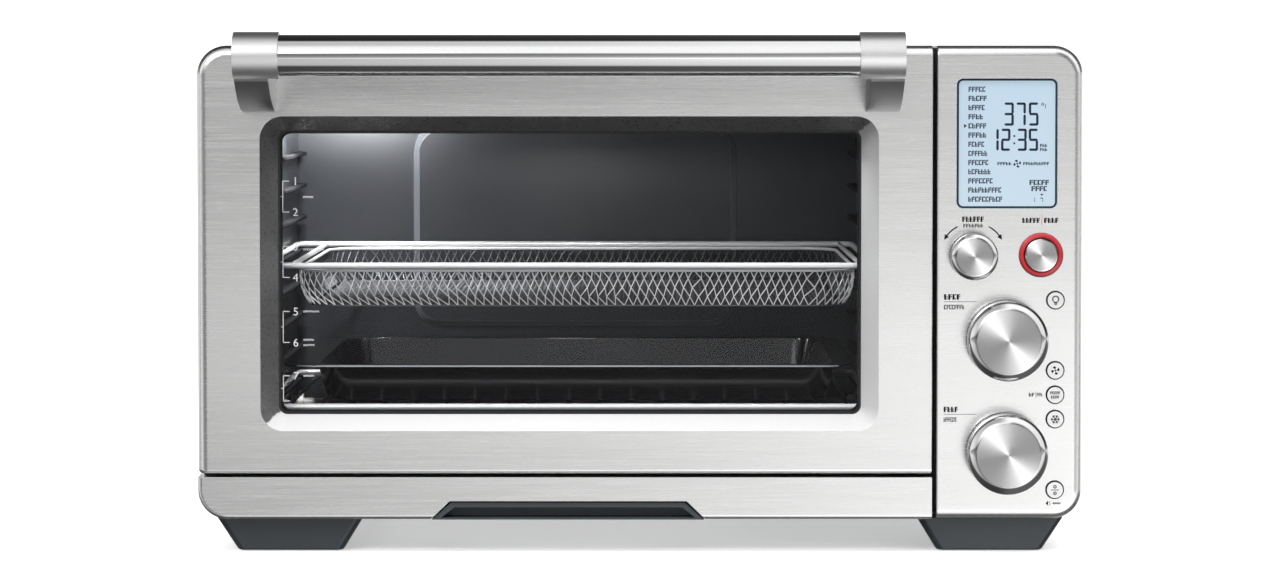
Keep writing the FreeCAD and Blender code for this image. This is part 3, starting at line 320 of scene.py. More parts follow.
NODE_LOOKS = {
    STEEL: ["control_fascia", "lower_trim", "door_outer_panel"],
    WRAP_STEEL: ["outer_wrap"],
    POLISHED: ["handle_bar"],
    BRACKET: ["handle_bracket_left", "handle_bracket_right"],
    GALVANISED: ["base_pan", "rear_panel", "partition_wall", "fan_housing", "hinge_brackets",
                 "hinge_plates", "handle_screws", "cabinet_screws", "door_springs", "fan_motor",
                 "rotary_encoders", "temperature_probe", "select_shaft"],
    FRAME_BLACK: ["front_frame", "door_inner_frame"],
    ENAMEL: ["roasting_pan"],
    LINER: ["cavity_left_wall", "cavity_right_wall", "cavity_roof", "cavity_rear_wall",
            "cavity_floor"],
    GUIDE_PAINTED_SHADE: ["rack_guides"],
    GLASS: ["door_glass", "lamp_lens"],
    LENS: ["lcd_window"],
    QUARTZ: ["upper_heater_tubes", "lower_heater_tubes", "lamp_bulb"],
    CERAMIC: ["heater_end_caps"],
    RUBBER: ["glass_gasket", "cord_gland"],
    SLATE: ["front_feet", "rear_feet", "rear_spacers", "crumb_tray_grip"],
    CHROME: ["wire_rack", "basket_frame"],
    ALUMINIUM: ["crumb_tray", "convection_fan"],
    BACKLIGHT: ["lcd_module"],
    BOARD: ["control_board", "power_board"],
}

# Width of each node's softened edges, in millimetres.
SOFTENED = {
    "door_outer_panel": 0.5, "control_fascia": 0.45, "lower_trim": 0.45, "outer_wrap": 0.3,
    "front_feet": 1.2, "rear_feet": 1.2, "rear_spacers": 1.0, "crumb_tray_grip": 0.7,
    "roasting_pan": 0.9, "rack_guides": 1.0, "cavity_rear_wall": 1.2, "base_pan": 0.3,
    "crumb_tray": 0.3, "rear_panel": 0.25, "cavity_floor": 0.4, "lamp_lens": 0.8,
    "door_inner_frame": 0.3, "front_frame": 0.3, "glass_gasket": 0.3, "hinge_plates": 0.3,
    "hinge_brackets": 0.5, "fan_motor": 0.8, "fan_housing": 0.3, "heater_end_caps": 0.8,
    "control_board": 0.2, "power_board": 0.8, "rotary_encoders": 0.4,
    "handle_bracket_left": 0.7, "handle_bracket_right": 0.7,
    "cord_gland": 0.8, "convection_fan": 0.3,
}


WELD_DISTANCE = 0.000002
FLAT_ANGLE, EDGE_ANGLE = math.radians(0.6), math.radians(32)


def dress_cad_nodes():
    """Gives CAD nodes their materials, and softens the edges of those listed in SOFTENED."""
    for material, names in NODE_LOOKS.items():
        for name in names:
            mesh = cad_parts[name].data
            mesh.materials.clear()
            mesh.materials.append(material)
    for name, width in SOFTENED.items():
        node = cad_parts[name]
        if "custom_normal" in node.data.attributes:
            node.data.attributes.remove(node.data.attributes["custom_normal"])
        node.data.shade_smooth()
        node.modifiers.new("weld", "WELD").merge_threshold = WELD_DISTANCE
        flat = node.modifiers.new("flat", "DECIMATE")
        flat.decimate_type = "DISSOLVE"
        flat.angle_limit = FLAT_ANGLE
        edge = node.modifiers.new("edge", "BEVEL")
        edge.width = width * MM
        edge.segments = 3
        edge.limit_method = "ANGLE"
        edge.angle_limit = EDGE_ANGLE
        edge.harden_normals = False
        node.modifiers.new("normals", "WEIGHTED_NORMAL").keep_sharp = False


def paint_faces(node, material, chosen):
    """Gives a further material to the faces that chosen(x, y, z, normal) picks, in millimetres."""
    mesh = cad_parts[node].data
    mesh.materials.append(material)
    for face in mesh.polygons:
        x, y, z = (c / MM for c in face.center)
        if chosen(x, y, z, face.normal):
            face.material_index = len(mesh.materials) - 1


def satin_and_shade_window_bevel():
    """The sloping frame round the window is satin; the faces turned right or down get a darker copy of
    it, painted shade.
    """
    low, high = node_box("glass_gasket")
    rim, flat_on, shade_from = 13.0, 0.95, 0.1

    def on_bevel(x, y, z, normal):
        across = low.x - rim < x < high.x + rim
        upright = low.z - rim < z < high.z + rim
        return across and upright and abs(normal.y) < flat_on and y < low.y + 1

    def in_painted_shade(x, y, z, normal):
        return on_bevel(x, y, z, normal) and normal.x - normal.z > shade_from

    paint_faces("door_outer_panel", BEVEL_STEEL, on_bevel)
    paint_faces("door_outer_panel", BEVEL_PAINTED_SHADE, in_painted_shade)


def paint_pan_rim_highlight():
    """The front-facing top edge of the roasting pan's rim gets a lighter metallic copy, a painted
    highlight.
    """
    low, high = node_box("roasting_pan")
    deep, tall = 3, 2.5
    paint_faces("roasting_pan", RIM_PAINTED_HIGHLIGHT, lambda x, y, z, normal:
                y < low.y + deep and normal.y < -0.3 and z > high.z - tall)


def paint_rack_rod_shade():
    """The rack's cross rods get a darker copy of the wire, painted shade."""
    low, high = node_box("wire_rack")
    side, end = 8, 5
    paint_faces("wire_rack", ROD_WIRE_PAINTED_SHADE, lambda x, y, z, normal:
                low.x + side < x < high.x - side and low.y + end < y < high.y - end)


def finish_embossed_edge():
    """The sloping edge of the rear wall's raised panel gets a lighter copy of the coating, a painted
    highlight.
    """
    low, high = node_box("cavity_rear_wall")
    margin, flat_on = 12.0, 0.97
    paint_faces("cavity_rear_wall", EMBOSS_PAINTED_HIGHLIGHT, lambda x, y, z, normal:
                low.x + margin < x < high.x - margin and low.z + margin < z < high.z - margin
                and abs(normal.y) < flat_on)


def paint_bracket_leg_shade():
    """Below its cap, each handle bracket's leg gets a darker copy of the satin, painted shade."""
    cap_low = node_box("handle_bar")[0].z - 4.0
    for name in ("handle_bracket_left", "handle_bracket_right"):
        paint_faces(name, LEG_PAINTED_SHADE, lambda x, y, z, normal: z < cap_low)


# ---------------------------------------------------------------- mesh building

class Mesh:
    """Collects points (in millimetres) and faces for one piece."""

    def __init__(self):
        self.points = []
        self.faces = []
        self.slots = []

    def add(self, points, faces, slot=0):
        first = len(self.points)
        self.points.extend(points)
        self.faces.extend([tuple(first + index for index in face) for face in faces])
        self.slots.extend([slot] * len(faces))

    def prism(self, outline, back, front, slot=0):
        """A flat shape in the front view (X, Z points), given a little thickness along Y."""
        count = len(outline)
        points = [(x, front, z) for x, z in outline] + [(x, back, z) for x, z in outline]
        faces = [tuple(range(count)), tuple(range(2 * count - 1, count - 1, -1))]
        for index in range(count):
            after = (index + 1) % count
            faces.append((index, index + count, after + count, after))
        self.add(points, faces, slot)

    def bar(self, left, right, low, high, back, front, slot=0):
        self.prism([(left, low), (right, low), (right, high), (left, high)], back, front, slot)

    def arc(self, x, z, inner, outer, begin, end, back, front, slot=0, steps=24):
        """A flat ring, or part of one, between two angles in degrees."""
        turn = [math.radians(begin + (end - begin) * k / steps) for k in range(steps + 1)]
        for first, second in zip(turn, turn[1:]):
            corners = [(first, inner), (first, outer), (second, outer), (second, inner)]
            self.prism([(x + r * math.cos(a), z + r * math.sin(a)) for a, r in corners],
                       back, front, slot)

    def tube(self, path, radius, sides=6, closed=False, slot=0):
        """A round strand along a list of points."""
        spots = [Vector(p) for p in path]
        count = len(spots)
        rings = []
        for index, spot in enumerate(spots):
            before = spots[index - 1] if index or closed else spots[0]
            after = spots[(index + 1) % count] if index < count - 1 or closed else spots[-1]
            run = (after - before).normalized()
            side = run.cross(Vector((0, 0, 1)))
            side = side.normalized() if side.length > 0.1 else Vector((1, 0, 0))
            up = side.cross(run).normalized()
            rings.append([spot + radius * (math.cos(t) * side + math.sin(t) * up)
                          for t in (2 * math.pi * k / sides for k in range(sides))])
        points = [tuple(point) for ring in rings for point in ring]
        faces = []
        for index in range(count if closed else count - 1):
            here, there = index * sides, (index + 1) % count * sides
            for k in range(sides):
                j = (k + 1) % sides
                faces.append((here + k, here + j, there + j, there + k))
        if not closed:
            faces.append(tuple(range(sides - 1, -1, -1)))
            faces.append(tuple((count - 1) * sides + k for k in range(sides)))
        self.add(points, faces, slot)

    def lathe(self, x, z, profile, slots, sides=96):
        """Turns (radius, y) points about an axis along Y; slots gives each band's material."""
        for (r0, y0), (r1, y1), slot in zip(profile, profile[1:], slots):
            points = []
            for radius, y in ((r0, y0), (r1, y1)):
                for k in range(sides):
                    turn = 2 * math.pi * k / sides
                    points.append((x + radius * math.cos(turn), y, z + radius * math.sin(turn)))
            faces = []
            for k in range(sides):
                j = (k + 1) % sides
                faces.append((k, j, sides + j, sides + k))
            self.add(points, faces, slot)

    def make(self, name, materials, body, smooth=True, merge=True):
        """Turns the collected shapes into an object that rides on a body."""
        mesh = bpy.data.meshes.new(name)
        mesh.from_pydata([tuple(MM * c for c in point) for point in self.points], [], self.faces)
        mesh.polygons.foreach_set("material_index", self.slots)
        for material in materials:
            mesh.materials.append(material)
        piece = bpy.data.objects.new(name, mesh)
        bpy.context.scene.collection.objects.link(piece)
        work = bmesh.new()
        work.from_mesh(mesh)
        if merge:
            bmesh.ops.remove_doubles(work, verts=work.verts, dist=0.000005)
        bmesh.ops.dissolve_degenerate(work, edges=work.edges, dist=0.000001)
        bmesh.ops.recalc_face_normals(work, faces=work.faces)
        work.to_mesh(mesh)
        work.free()
        if smooth:
            mesh.shade_smooth()
            mesh.set_sharp_from_angle(angle=math.radians(38))
        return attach(piece, body)


# ---------------------------------------------------------------- knobs and buttons

FASCIA_Y = node_box("control_fascia")[0].y
INK_THICK = 0.05


def make_knobs():
    """Turned knobs: straight side, polished chamfer and a spun, slightly domed face."""
    for node, body in (("temp_knob", "temp_dial"), ("time_knob", "time_dial"),
                       ("select_knob", "select_dial")):
        low, high = node_box(node)
        x, z = centre_of(node)
        radius, front, back = (high.x - low.x) / 2, low.y, high.y
        chamfer = 0.17 * radius
        profile = [(3.2, back), (radius - 1.6, back), (radius - 0.8, back - 0.5),
                   (radius - 0.8, back - 2.0), (radius - 0.15, back - 2.4),
                   (radius, back - 3.0), (radius, front + chamfer + 0.5),
                   (radius - 0.25, front + chamfer), (radius - chamfer - 0.3, front + 0.9),
                   (radius - chamfer - 0.7, front + 0.8), (radius - chamfer - 1.0, front + 1.2),
                   (0.55 * radius, front + 0.75), (0.25 * radius, front + 0.35), (0, front + 0.05)]
        slots = [2, 2, 2, 2, 1, 1, 1, 1, 1, 1, 0, 0, 0]
        piece = Mesh()
        piece.lathe(x, z, profile, slots)
        knob = piece.make(node.replace("knob", "dial_cap"), [SPUN, POLISHED, RUBBER], body)
        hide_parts(node)


def make_start_button():
    """Spun metal push button inside a glossy red ring."""
    low, high = node_box("start_stop_button")
    x, z = centre_of("start_stop_button")
    radius, front, back = (high.x - low.x) / 2, low.y, high.y
    cap = Mesh()
    cap.lathe(x, z, [(2.4, back), (2.4, back - 10), (4, back - 10), (radius - 0.1, FASCIA_Y + 2.9),
                     (radius, front + 1.6), (radius - 0.25, front + 1.0), (radius - 0.8, front + 0.8),
                     (0.5 * radius, front + 0.4), (0, front)], [1, 1, 1, 1, 1, 1, 0, 0])
    button = cap.make("start_button_cap", [SPUN, POLISHED], "start_key")
    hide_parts("start_stop_button")
    low, high = node_box("light_ring")
    ring = Mesh()
    outer = (high.x - low.x) / 2
    face = outer - 2.0
    ring.lathe(x, z, [(10.5, high.y), (outer, high.y), (outer, high.y - 1.9), (face, high.y - 1.9),
                      (face, low.y + 0.9), (face - 0.4, low.y + 0.3), (face - 1.1, low.y),
                      (11.3, low.y), (10.7, low.y + 0.4), (10.5, low.y + 1.0), (10.5, high.y)],
               [0] * 10)
    piece = ring.make("red_light_ring", [RED], "cabinet")
    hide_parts("light_ring")


def bulb_icon(marks, x, z, back, front):
    marks.arc(x, z + 0.7, 1.5, 2.2, -50, 230, back, front)
    marks.bar(x - 1.1, x + 1.1, z - 2.0, z - 0.9, back, front)
    marks.bar(x - 0.7, x + 0.7, z - 2.9, z - 2.3, back, front)


def fan_icon(marks, x, z, back, front, size=2.7):
    """Four curved blades round a hub."""
    marks.arc(x, z, 0, 0.22 * size, 0, 360, back, front, steps=12)
    for quarter in range(4):
        base = math.radians(90 * quarter)
        outline = []
        for reach, turn in ((0.3, 0), (0.8, -12), (1.0, 12), (0.95, 42), (0.55, 34)):
            angle = base + math.radians(turn)
            outline.append((x + size * reach * math.cos(angle), z + size * reach * math.sin(angle)))
        marks.prism(outline, back, front)


def flake_icon(marks, x, z, back, front):
    """Six spokes, each with a small fork."""
    for spoke in range(6):
        turn = Matrix.Rotation(math.radians(60 * spoke), 2)
        for outline in (((0, -0.26), (2.8, -0.26), (2.8, 0.26), (0, 0.26)),
                        ((1.2, 0), (2.1, 1.0), (2.5, 0.7), (1.8, 0)),
                        ((1.2, 0), (1.8, 0), (2.5, -0.7), (2.1, -1.0))):
            spots = [turn @ Vector(point) for point in outline]
            marks.prism([(x + p.x, z + p.y) for p in spots], back, front)


def phase_icon(marks, x, z, back, front):
    """Two rows of short blocks."""
    blocks(marks, x - 3.1, x + 3.1, z + 0.4, z + 2.2, back, front, 5, weight=0.5)
    blocks(marks, x - 2.6, x + 2.6, z - 2.2, z - 0.4, back, front, 4, weight=0.5)


def unit_icon(marks, x, z, back, front):
    """Two degree rings with a bar between them."""
    marks.arc(x, z + 2.0, 0.5, 1.1, 0, 360, back, front, steps=14)
    marks.bar(x - 2.4, x + 2.4, z - 0.25, z + 0.25, back, front)
    marks.arc(x, z - 2.0, 0.5, 1.1, 0, 360, back, front, steps=14)


HEAVY = 0.52
BAR_FOOT, BAR_STEP, BAR_TALL = 0.02, 0.38, 0.26
BAR_GAP, BAR_REACH = 0.08, 0.84


def blocks(marks, left, right, low, high, back, front, count, slot=0, weight=0.4):
    """A row of marks in place of a printed word: each a stem with two short bars."""
    pitch = (right - left) / count
    tall = high - low
    for index in range(count):
        start = left + index * pitch
        stem = start + weight * pitch
        marks.bar(start, stem, low, high, back, front, slot)
        skipped = round(3 * math.sin(5.1 * index + 2.7 * left + low)) % 3
        for level in range(3):
            if level != skipped:
                foot = low + tall * (BAR_FOOT + BAR_STEP * level)
                marks.bar(stem + BAR_GAP * pitch, start + BAR_REACH * pitch, foot,
                          foot + BAR_TALL * tall, back, front, slot)


BUTTON_ICONS = {"light": bulb_icon, "fan": fan_icon, "phase": phase_icon, "frozen": flake_icon,
                "unit": unit_icon}


def make_small_buttons():
    """Five round keys with a dark edge line and a printed icon each."""
    for name, icon in BUTTON_ICONS.items():
        node = name + "_button"
        low, high = node_box(node)
        x, z = centre_of(node)
        front, back = low.y, high.y
        radius = (high.x - low.x) / 2 - 1.2
        cap = Mesh()
        cap.lathe(x, z, [(2, back), (2, FASCIA_Y + 3.9), (radius + 1.2, FASCIA_Y + 3.9),
                         (radius + 1.2, FASCIA_Y + 2.7), (radius, FASCIA_Y + 2.7),
                         (radius, front + 0.5), (radius - 0.15, front + 0.22),
                         (radius - 0.65, front + 0.1), (radius - 1.05, front + 0.12), (0, front)],
                  [1, 1, 1, 1, 1, 1, 1, 0, 0], sides=64)
        piece = cap.make(name + "_key_cap", [KEY, BLACK_INK], name + "_key")
        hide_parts(node)
        marks = Mesh()
        icon(marks, x, z, front + 0.12, front - 0.01)
        marks.make(name + "_key_icon", [BLACK_INK], name + "_key", smooth=False)


# ---------------------------------------------------------------- printed marks on the fascia

def arrow_arc(marks, x, z, radius, begin, end, back, front):
    """A curved line with an arrowhead at its end."""
    marks.arc(x, z, radius - 0.4, radius + 0.4, begin, end, back, front)
    sign = 1 if end > begin else -1
    tip = math.radians(end + sign * 9)
    root = math.radians(end)
    head = [(x + (radius + 1.6) * math.cos(root), z + (radius + 1.6) * math.sin(root)),
            (x + (radius - 1.6) * math.cos(root), z + (radius - 1.6) * math.sin(root)),
            (x + radius * math.cos(tip), z + radius * math.sin(tip))]
    marks.prism(head if sign > 0 else head[::-1], back, front)


def make_fascia_marks():
    """Arrows, rules and rows of marks printed round the knobs and keys in place of words."""
    back, front = FASCIA_Y + 0.02, FASCIA_Y - INK_THICK
    marks = Mesh()
    select_x, select_z = centre_of("select_knob")
    blocks(marks, select_x - 6.8, select_x + 6.8, select_z + 20.9, select_z + 24.2, back, front, 6,
           weight=HEAVY)
    blocks(marks, select_x - 6.1, select_x + 6.3, select_z + 17.5, select_z + 19.7, back, front, 7, 2)
    arrow_arc(marks, select_x, select_z, 20.4, 118, 142, back, front)
    arrow_arc(marks, select_x, select_z, 20.4, 62, 38, back, front)
    start_x, start_z = centre_of("start_stop_button")
    blocks(marks, start_x - 11.6, start_x - 0.5, start_z + 19.8, start_z + 22.9, back, front, 5,
           weight=HEAVY)
    blocks(marks, start_x + 1.8, start_x + 10.9, start_z + 19.8, start_z + 22.9, back, front, 4,
           weight=HEAVY)
    marks.bar(start_x + 0.4, start_x + 0.7, start_z + 18.4, start_z + 24.4, back, front, 1)
    for node, wide, word in (("temp_knob", 10.4, 12.8), ("time_knob", 9.0, 8.2)):
        x, z = centre_of(node)
        left = x - 38.2
        blocks(marks, left, left + wide, z + 24.6, z + 28.0, back, front, 4, weight=HEAVY)
        marks.bar(left, left + 20, z + 23.2, z + 23.5, back, front, 2)
        blocks(marks, left, left + word, z + 18.6, z + 21.4, back, front, 8, 2)
    x, z = centre_of("phase_button")
    blocks(marks, x - 16.2, x - 12.6, z - 1.1, z + 1.2, back, front, 2, 2)
    marks.bar(x - 12.1, x - 11.9, z - 1.8, z + 2.0, back, front, 2)
    blocks(marks, x - 11.3, x - 7.6, z - 1.1, z + 1.2, back, front, 3, 2)
    x, z = centre_of("unit_button")
    low = z - 8.4
    marks.prism([(x - 5.5, low), (x - 4.0, low + 1.6), (x - 4.0, low - 1.6)], back, front)
    marks.arc(x - 4.4, low, 1.4, 1.7, -50, 50, back, front, steps=8)
    marks.bar(x - 1.6, x + 3.8, low - 0.15, low + 0.15, back, front, 2)
    blocks(marks, x - 0.8, x + 3.6, low - 0.6, low + 0.6, back, front, 4, 2)
    marks.make("fascia_marks", [BLACK_INK, RED_INK, GREY_INK], "cabinet", smooth=False)


# ---------------------------------------------------------------- display

SEGMENTS = {
    "1": "bc", "2": "abged", "3": "abgcd", "5": "afgcd", "7": "abc",
}


def seven_segments(marks, digit, left, low, wide, tall, stroke, back, front):
    """A digit of bars with pointed ends."""
    right, high, middle = left + wide, low + tall, low + tall / 2
    half, gap = stroke / 2, 0.14
    spans = {
        "a": (left, high - half, right, high - half),
        "g": (left, middle, right, middle),
        "d": (left, low + half, right, low + half),
        "f": (left + half, high, left + half, middle),
        "b": (right - half, high, right - half, middle),
        "e": (left + half, middle, left + half, low),
        "c": (right - half, middle, right - half, low),
    }
    for name in SEGMENTS[digit]:
        x0, z0, x1, z1 = spans[name]
        if z0 == z1:
            outline = [(x0 + half + gap, z0 - half), (x1 - half - gap, z0 - half),
                       (x1 - gap, z0), (x1 - half - gap, z0 + half),
                       (x0 + half + gap, z0 + half), (x0 + gap, z0)]
        else:
            outline = [(x0 - half, z1 + half + gap), (x0, z1 + gap), (x0 + half, z1 + half + gap),
                       (x0 + half, z0 - half - gap), (x0, z0 - gap), (x0 - half, z0 - half - gap)]
        marks.prism(outline, back, front)


DISPLAY_ROWS = (10.6, 11.5, 10.2, 9.1, 11.3, 11.3, 10.0, 11.9, 12.6, 13.9, 15.3, 20.6, 21.2)
ROW_PITCH = 5.64
TOP_ROW, POINTED_ROW = 73.2, 4


def make_display():
    """Dark segments and blocks on the backlit panel, and a dark border round the window."""
    low, high = node_box("lcd_window")
    panel = node_box("lcd_module")[0].y
    back, front = panel + 0.02, panel - INK_THICK
    left, bottom = low.x, low.z
    marks = Mesh()
    for index, wide in enumerate(DISPLAY_ROWS):
        middle = bottom + TOP_ROW - ROW_PITCH * index
        count = max(4, round(wide / 2.1))
        blocks(marks, left + 7.3, left + 7.3 + wide, middle - 1.6, middle + 1.6, back, front, count,
               weight=0.36)
    pointer = bottom + TOP_ROW - ROW_PITCH * POINTED_ROW
    marks.prism([(left + 4.6, pointer - 1.3), (left + 6.4, pointer), (left + 4.6, pointer + 1.3)],
                back, front)
    for digit, across in (("3", 29.2), ("7", 36.6), ("5", 44.4)):
        seven_segments(marks, digit, left + across, bottom + 50.8, 6.0, 14.3, 1.5, back, front)
    for digit, across in (("1", 20.2), ("2", 27.4), ("3", 37.4), ("5", 44.4)):
        seven_segments(marks, digit, left + across, bottom + 35.3, 5.8, 13.7, 1.5, back, front)
    for up in (39.4, 43.9):
        marks.bar(left + 35.0, left + 36.1, bottom + up, bottom + up + 1.1, back, front)
    marks.arc(left + 52.9, bottom + 64.0, 0.45, 0.85, 0, 360, back, front, steps=12)
    marks.bar(left + 54.4, left + 54.8, bottom + 61.4, bottom + 64.0, back, front)
    blocks(marks, left + 51.4, left + 56.0, bottom + 37.7, bottom + 39.6, back, front, 3)
    blocks(marks, left + 51.4, left + 56.0, bottom + 35.2, bottom + 37.1, back, front, 3)
    blocks(marks, left + 25.2, left + 34.0, bottom + 26.5, bottom + 28.4, back, front, 5)
    fan_icon(marks, left + 37.4, bottom + 27.4, back, front, 2.5)
    blocks(marks, left + 41.1, left + 57.2, bottom + 26.5, bottom + 28.4, back, front, 10)
    blocks(marks, left + 45.0, left + 57.2, bottom + 14.3, bottom + 17.4, back, front, 5)
    blocks(marks, left + 46.2, left + 56.0, bottom + 10.5, bottom + 13.6, back, front, 4)
    marks.prism([(left + 51.6, bottom + 8.8), (left + 53.6, bottom + 8.8),
                 (left + 52.6, bottom + 7.5)], back, front)
    seven_segments(marks, "1", left + 46.6, bottom + 3.8, 1.8, 2.7, 0.5, back, front)
    seven_segments(marks, "7", left + 51.4, bottom + 3.8, 2.0, 2.7, 0.5, back, front)
    marks.make("display_segments", [LCD_INK], "cabinet", smooth=False)
    border = Mesh()
    rounded_frame(border, low.x, high.x, low.z, high.z, 4.0, 1.3, low.y + 0.02, low.y - INK_THICK)
    border.make("display_border", [BORDER_INK], "cabinet", smooth=False)


def rounded_frame(marks, left, right, low, high, bend, wide, back, front):
    """A thin border round a rectangle with rounded corners."""
    corners = ((right - bend, high - bend, 0), (left + bend, high - bend, 90),
               (left + bend, low + bend, 180), (right - bend, low + bend, 270))
    for x, z, begin in corners:
        marks.arc(x, z, bend - wide, bend, begin, begin + 90, back, front, steps=8)
    for x0, x1 in ((left, left + wide), (right - wide, right)):
        marks.bar(x0, x1, low + bend, high - bend, back, front)
    for z0, z1 in ((low, low + wide), (high - wide, high)):
        marks.bar(left + bend, right - bend, z0, z1, back, front)


# ---------------------------------------------------------------- rack marks on the glass

def digit_outline(digit, x, z, tall, back, front, marks):
    """Adds one printed numeral, centred at a height."""
    text = bpy.data.curves.new("numeral", "FONT")
    text.body = digit
    text.size = tall * MM
    text.align_x = "CENTER"
    text.extrude = 0.5 * (back - front) * MM
    holder = bpy.data.objects.new("numeral", text)
    mesh = bpy.data.meshes.new_from_object(holder)
    points = [(x + v.co.x / MM, (back + front) / 2 - v.co.z / MM, z + v.co.y / MM - 0.35 * tall)
              for v in mesh.vertices]
    marks.add(points, [tuple(face.vertices) for face in mesh.polygons])
    bpy.data.objects.remove(holder)
    bpy.data.meshes.remove(mesh)
    bpy.data.curves.remove(text)


def make_glass_marks():
    """Rack heights printed in pale grey at the left edge of the pane."""
    surface = node_box("door_glass")[0].y
    back, front = surface + 0.02, surface - INK_THICK
    marks = Mesh()
    x = node_box("glass_gasket")[0].x + 10.2
    line = 0.25
    for upper, lower, high, low in (("1", "2", 229.6, 210.4), ("3", "4", 189.0, 169.8),
                                    ("5", "6", 148.7, 129.4), ("7", "", 108.7, 93.0)):
        marks.bar(x - line, x + line, low, high, back, front)
        marks.bar(x, x + 4.0, high - line, high + line, back, front)
        marks.bar(x, x + 4.0, low - line, low + line, back, front)
        middle = (high + low) / 2
        marks.bar(x - 1.8, x, middle - line, middle + line, back, front)
        for digit, up in ((upper, high), (lower, low)):
            if digit:
                digit_outline(digit, x + 7.8, up, 7.0, back, front, marks)
    note_start, note_half = 12.6, 0.55
    for wide, up in ((6.5, 219.7), (12.0, 190.4), (13.0, 187.2), (10.0, 148.7), (6.6, 131.0),
                     (7.0, 127.8), (6.8, 108.7)):
        blocks(marks, x + note_start, x + note_start + wide, up - note_half, up + note_half,
               back, front, round(wide / 1.2))
    marks.make("rack_height_marks", [WHITE_INK], "door", smooth=False)


# ---------------------------------------------------------------- air-fry basket

def rounded_loop(left, right, front, rear, bend, pitch):
    """Points about a rounded rectangle, evenly spaced, seen from above."""
    spots = []
    quarter = math.pi / 2
    corners = [(right - bend, front + bend, -quarter), (right - bend, rear - bend, 0),
               (left + bend, rear - bend, quarter), (left + bend, front + bend, 2 * quarter)]
    dense = []
    for x, y, begin in corners:
        for k in range(13):
            turn = begin + quarter * k / 12
            dense.append((x + bend * math.cos(turn), y + bend * math.sin(turn)))
    dense.append(dense[0])
    dense = np.array(dense)
    runs = np.hypot(*np.diff(dense, axis=0).T)
    along = np.concatenate([[0], np.cumsum(runs)])
    count = int(round(along[-1] / pitch / 2)) * 2
    for k in range(count):
        place = along[-1] * k / count
        spots.append((np.interp(place, along, dense[:, 0]), np.interp(place, along, dense[:, 1])))
    return spots


def make_basket():
    """Expanded-metal tray: a diamond lattice wall and floor under a wire frame."""
    low, high = node_box("basket_mesh")
    strand, cell, rows, floor_cell = 0.37, 5.5, 4, 12.6
    lattice = Mesh()
    top, bottom = high.z, low.z + 0.8
    levels = [top + (bottom - top) * k / rows for k in range(rows + 1)]
    rings = []
    for level in levels:
        share = (top - level) / (top - bottom)
        inset = 1.2 + 6.0 * share ** 3
        rings.append(rounded_loop(low.x + inset, high.x - inset, low.y + inset, high.y - inset,
                                  26 - 0.3 * inset, cell / 2))
    count = min(len(ring) for ring in rings)
    rings = [[ring[int(k * len(ring) / count)] for k in range(count)] for ring in rings]
    for start in range(0, count, 2):
        for lean in (1, -1):
            path = []
            for index, level in enumerate(levels):
                x, y = rings[index][(start + lean * index) % count]
                path.append((x, y, level))
            # Strands that start more than 40 mm behind the front take the painted shade copy.
            lattice.tube(path, strand, 4, slot=0 if path[0][1] < low.y + 40 else 1)
    inset = 7.2
    left, right = low.x + inset + 4, high.x - inset - 4
    front, rear = low.y + inset + 4, high.y - inset - 4
    across = int((right - left) / floor_cell) * 2
    deep = int((rear - front) / 6.3)
    for row in range(deep):
        for lean in (0, 1):
            path = []
            for k in range(across + 1):
                x = left + (right - left) * k / across
                y = front + (rear - front) * (row + (k + lean) % 2) / deep
                path.append((x, y, bottom))
            lattice.tube(path, strand, 4, slot=1)
    for ring, level, thick, slot in ((rings[0], top - 0.6, 1.1, 0), (rings[-1], bottom, 0.6, 1)):
        lattice.tube([(x, y, level) for x, y in ring[::2]], thick, 8, closed=True, slot=slot)
    piece = lattice.make("basket_lattice", [LATTICE, LATTICE_PAINTED_SHADE], "basket",
                         merge=False)
    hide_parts("basket_mesh")


# ---------------------------------------------------------------- room, light and camera

def area_light(name, place, aim, wide, tall, power):
    """A soft rectangular light pointed at a spot."""
    data = bpy.data.lights.new(name, "AREA")
    data.shape = "RECTANGLE"
    data.size, data.size_y = wide, tall
    data.energy = power
    lamp = bpy.data.objects.new(name, data)
    lamp.location = place
    lamp.rotation_euler = (Vector(aim) - Vector(place)).to_track_quat("-Z", "Y").to_euler()
    bpy.context.scene.collection.objects.link(lamp)
    return lamp


def direction_ramp(tree, rise, run, stops):
    """Brightness by the angle whose tangent is rise over run; stops are (degrees, level)."""
    turns = maths(tree, "MULTIPLY_ADD", maths(tree, "ARCTAN2", rise, run), 0.5 / math.pi, 0.5)
    return level_ramp(tree, turns, [(at / 360 + 0.5, level) for at, level in stops])


def level_ramp(tree, value, stops):
    """Grey level by a value from 0 to 1."""
    ramp = add(tree, "ShaderNodeValToRGB")
    ramp.color_ramp.interpolation = "EASE"
    elements = ramp.color_ramp.elements
    while len(elements) < len(stops):
        elements.new(0.5)
    for element, (place, level) in zip(elements, stops):
        element.position = place
        element.color = (level, level, level, 1)
    tree.links.new(value, ramp.inputs["Fac"])
    return ramp.outputs["Color"]


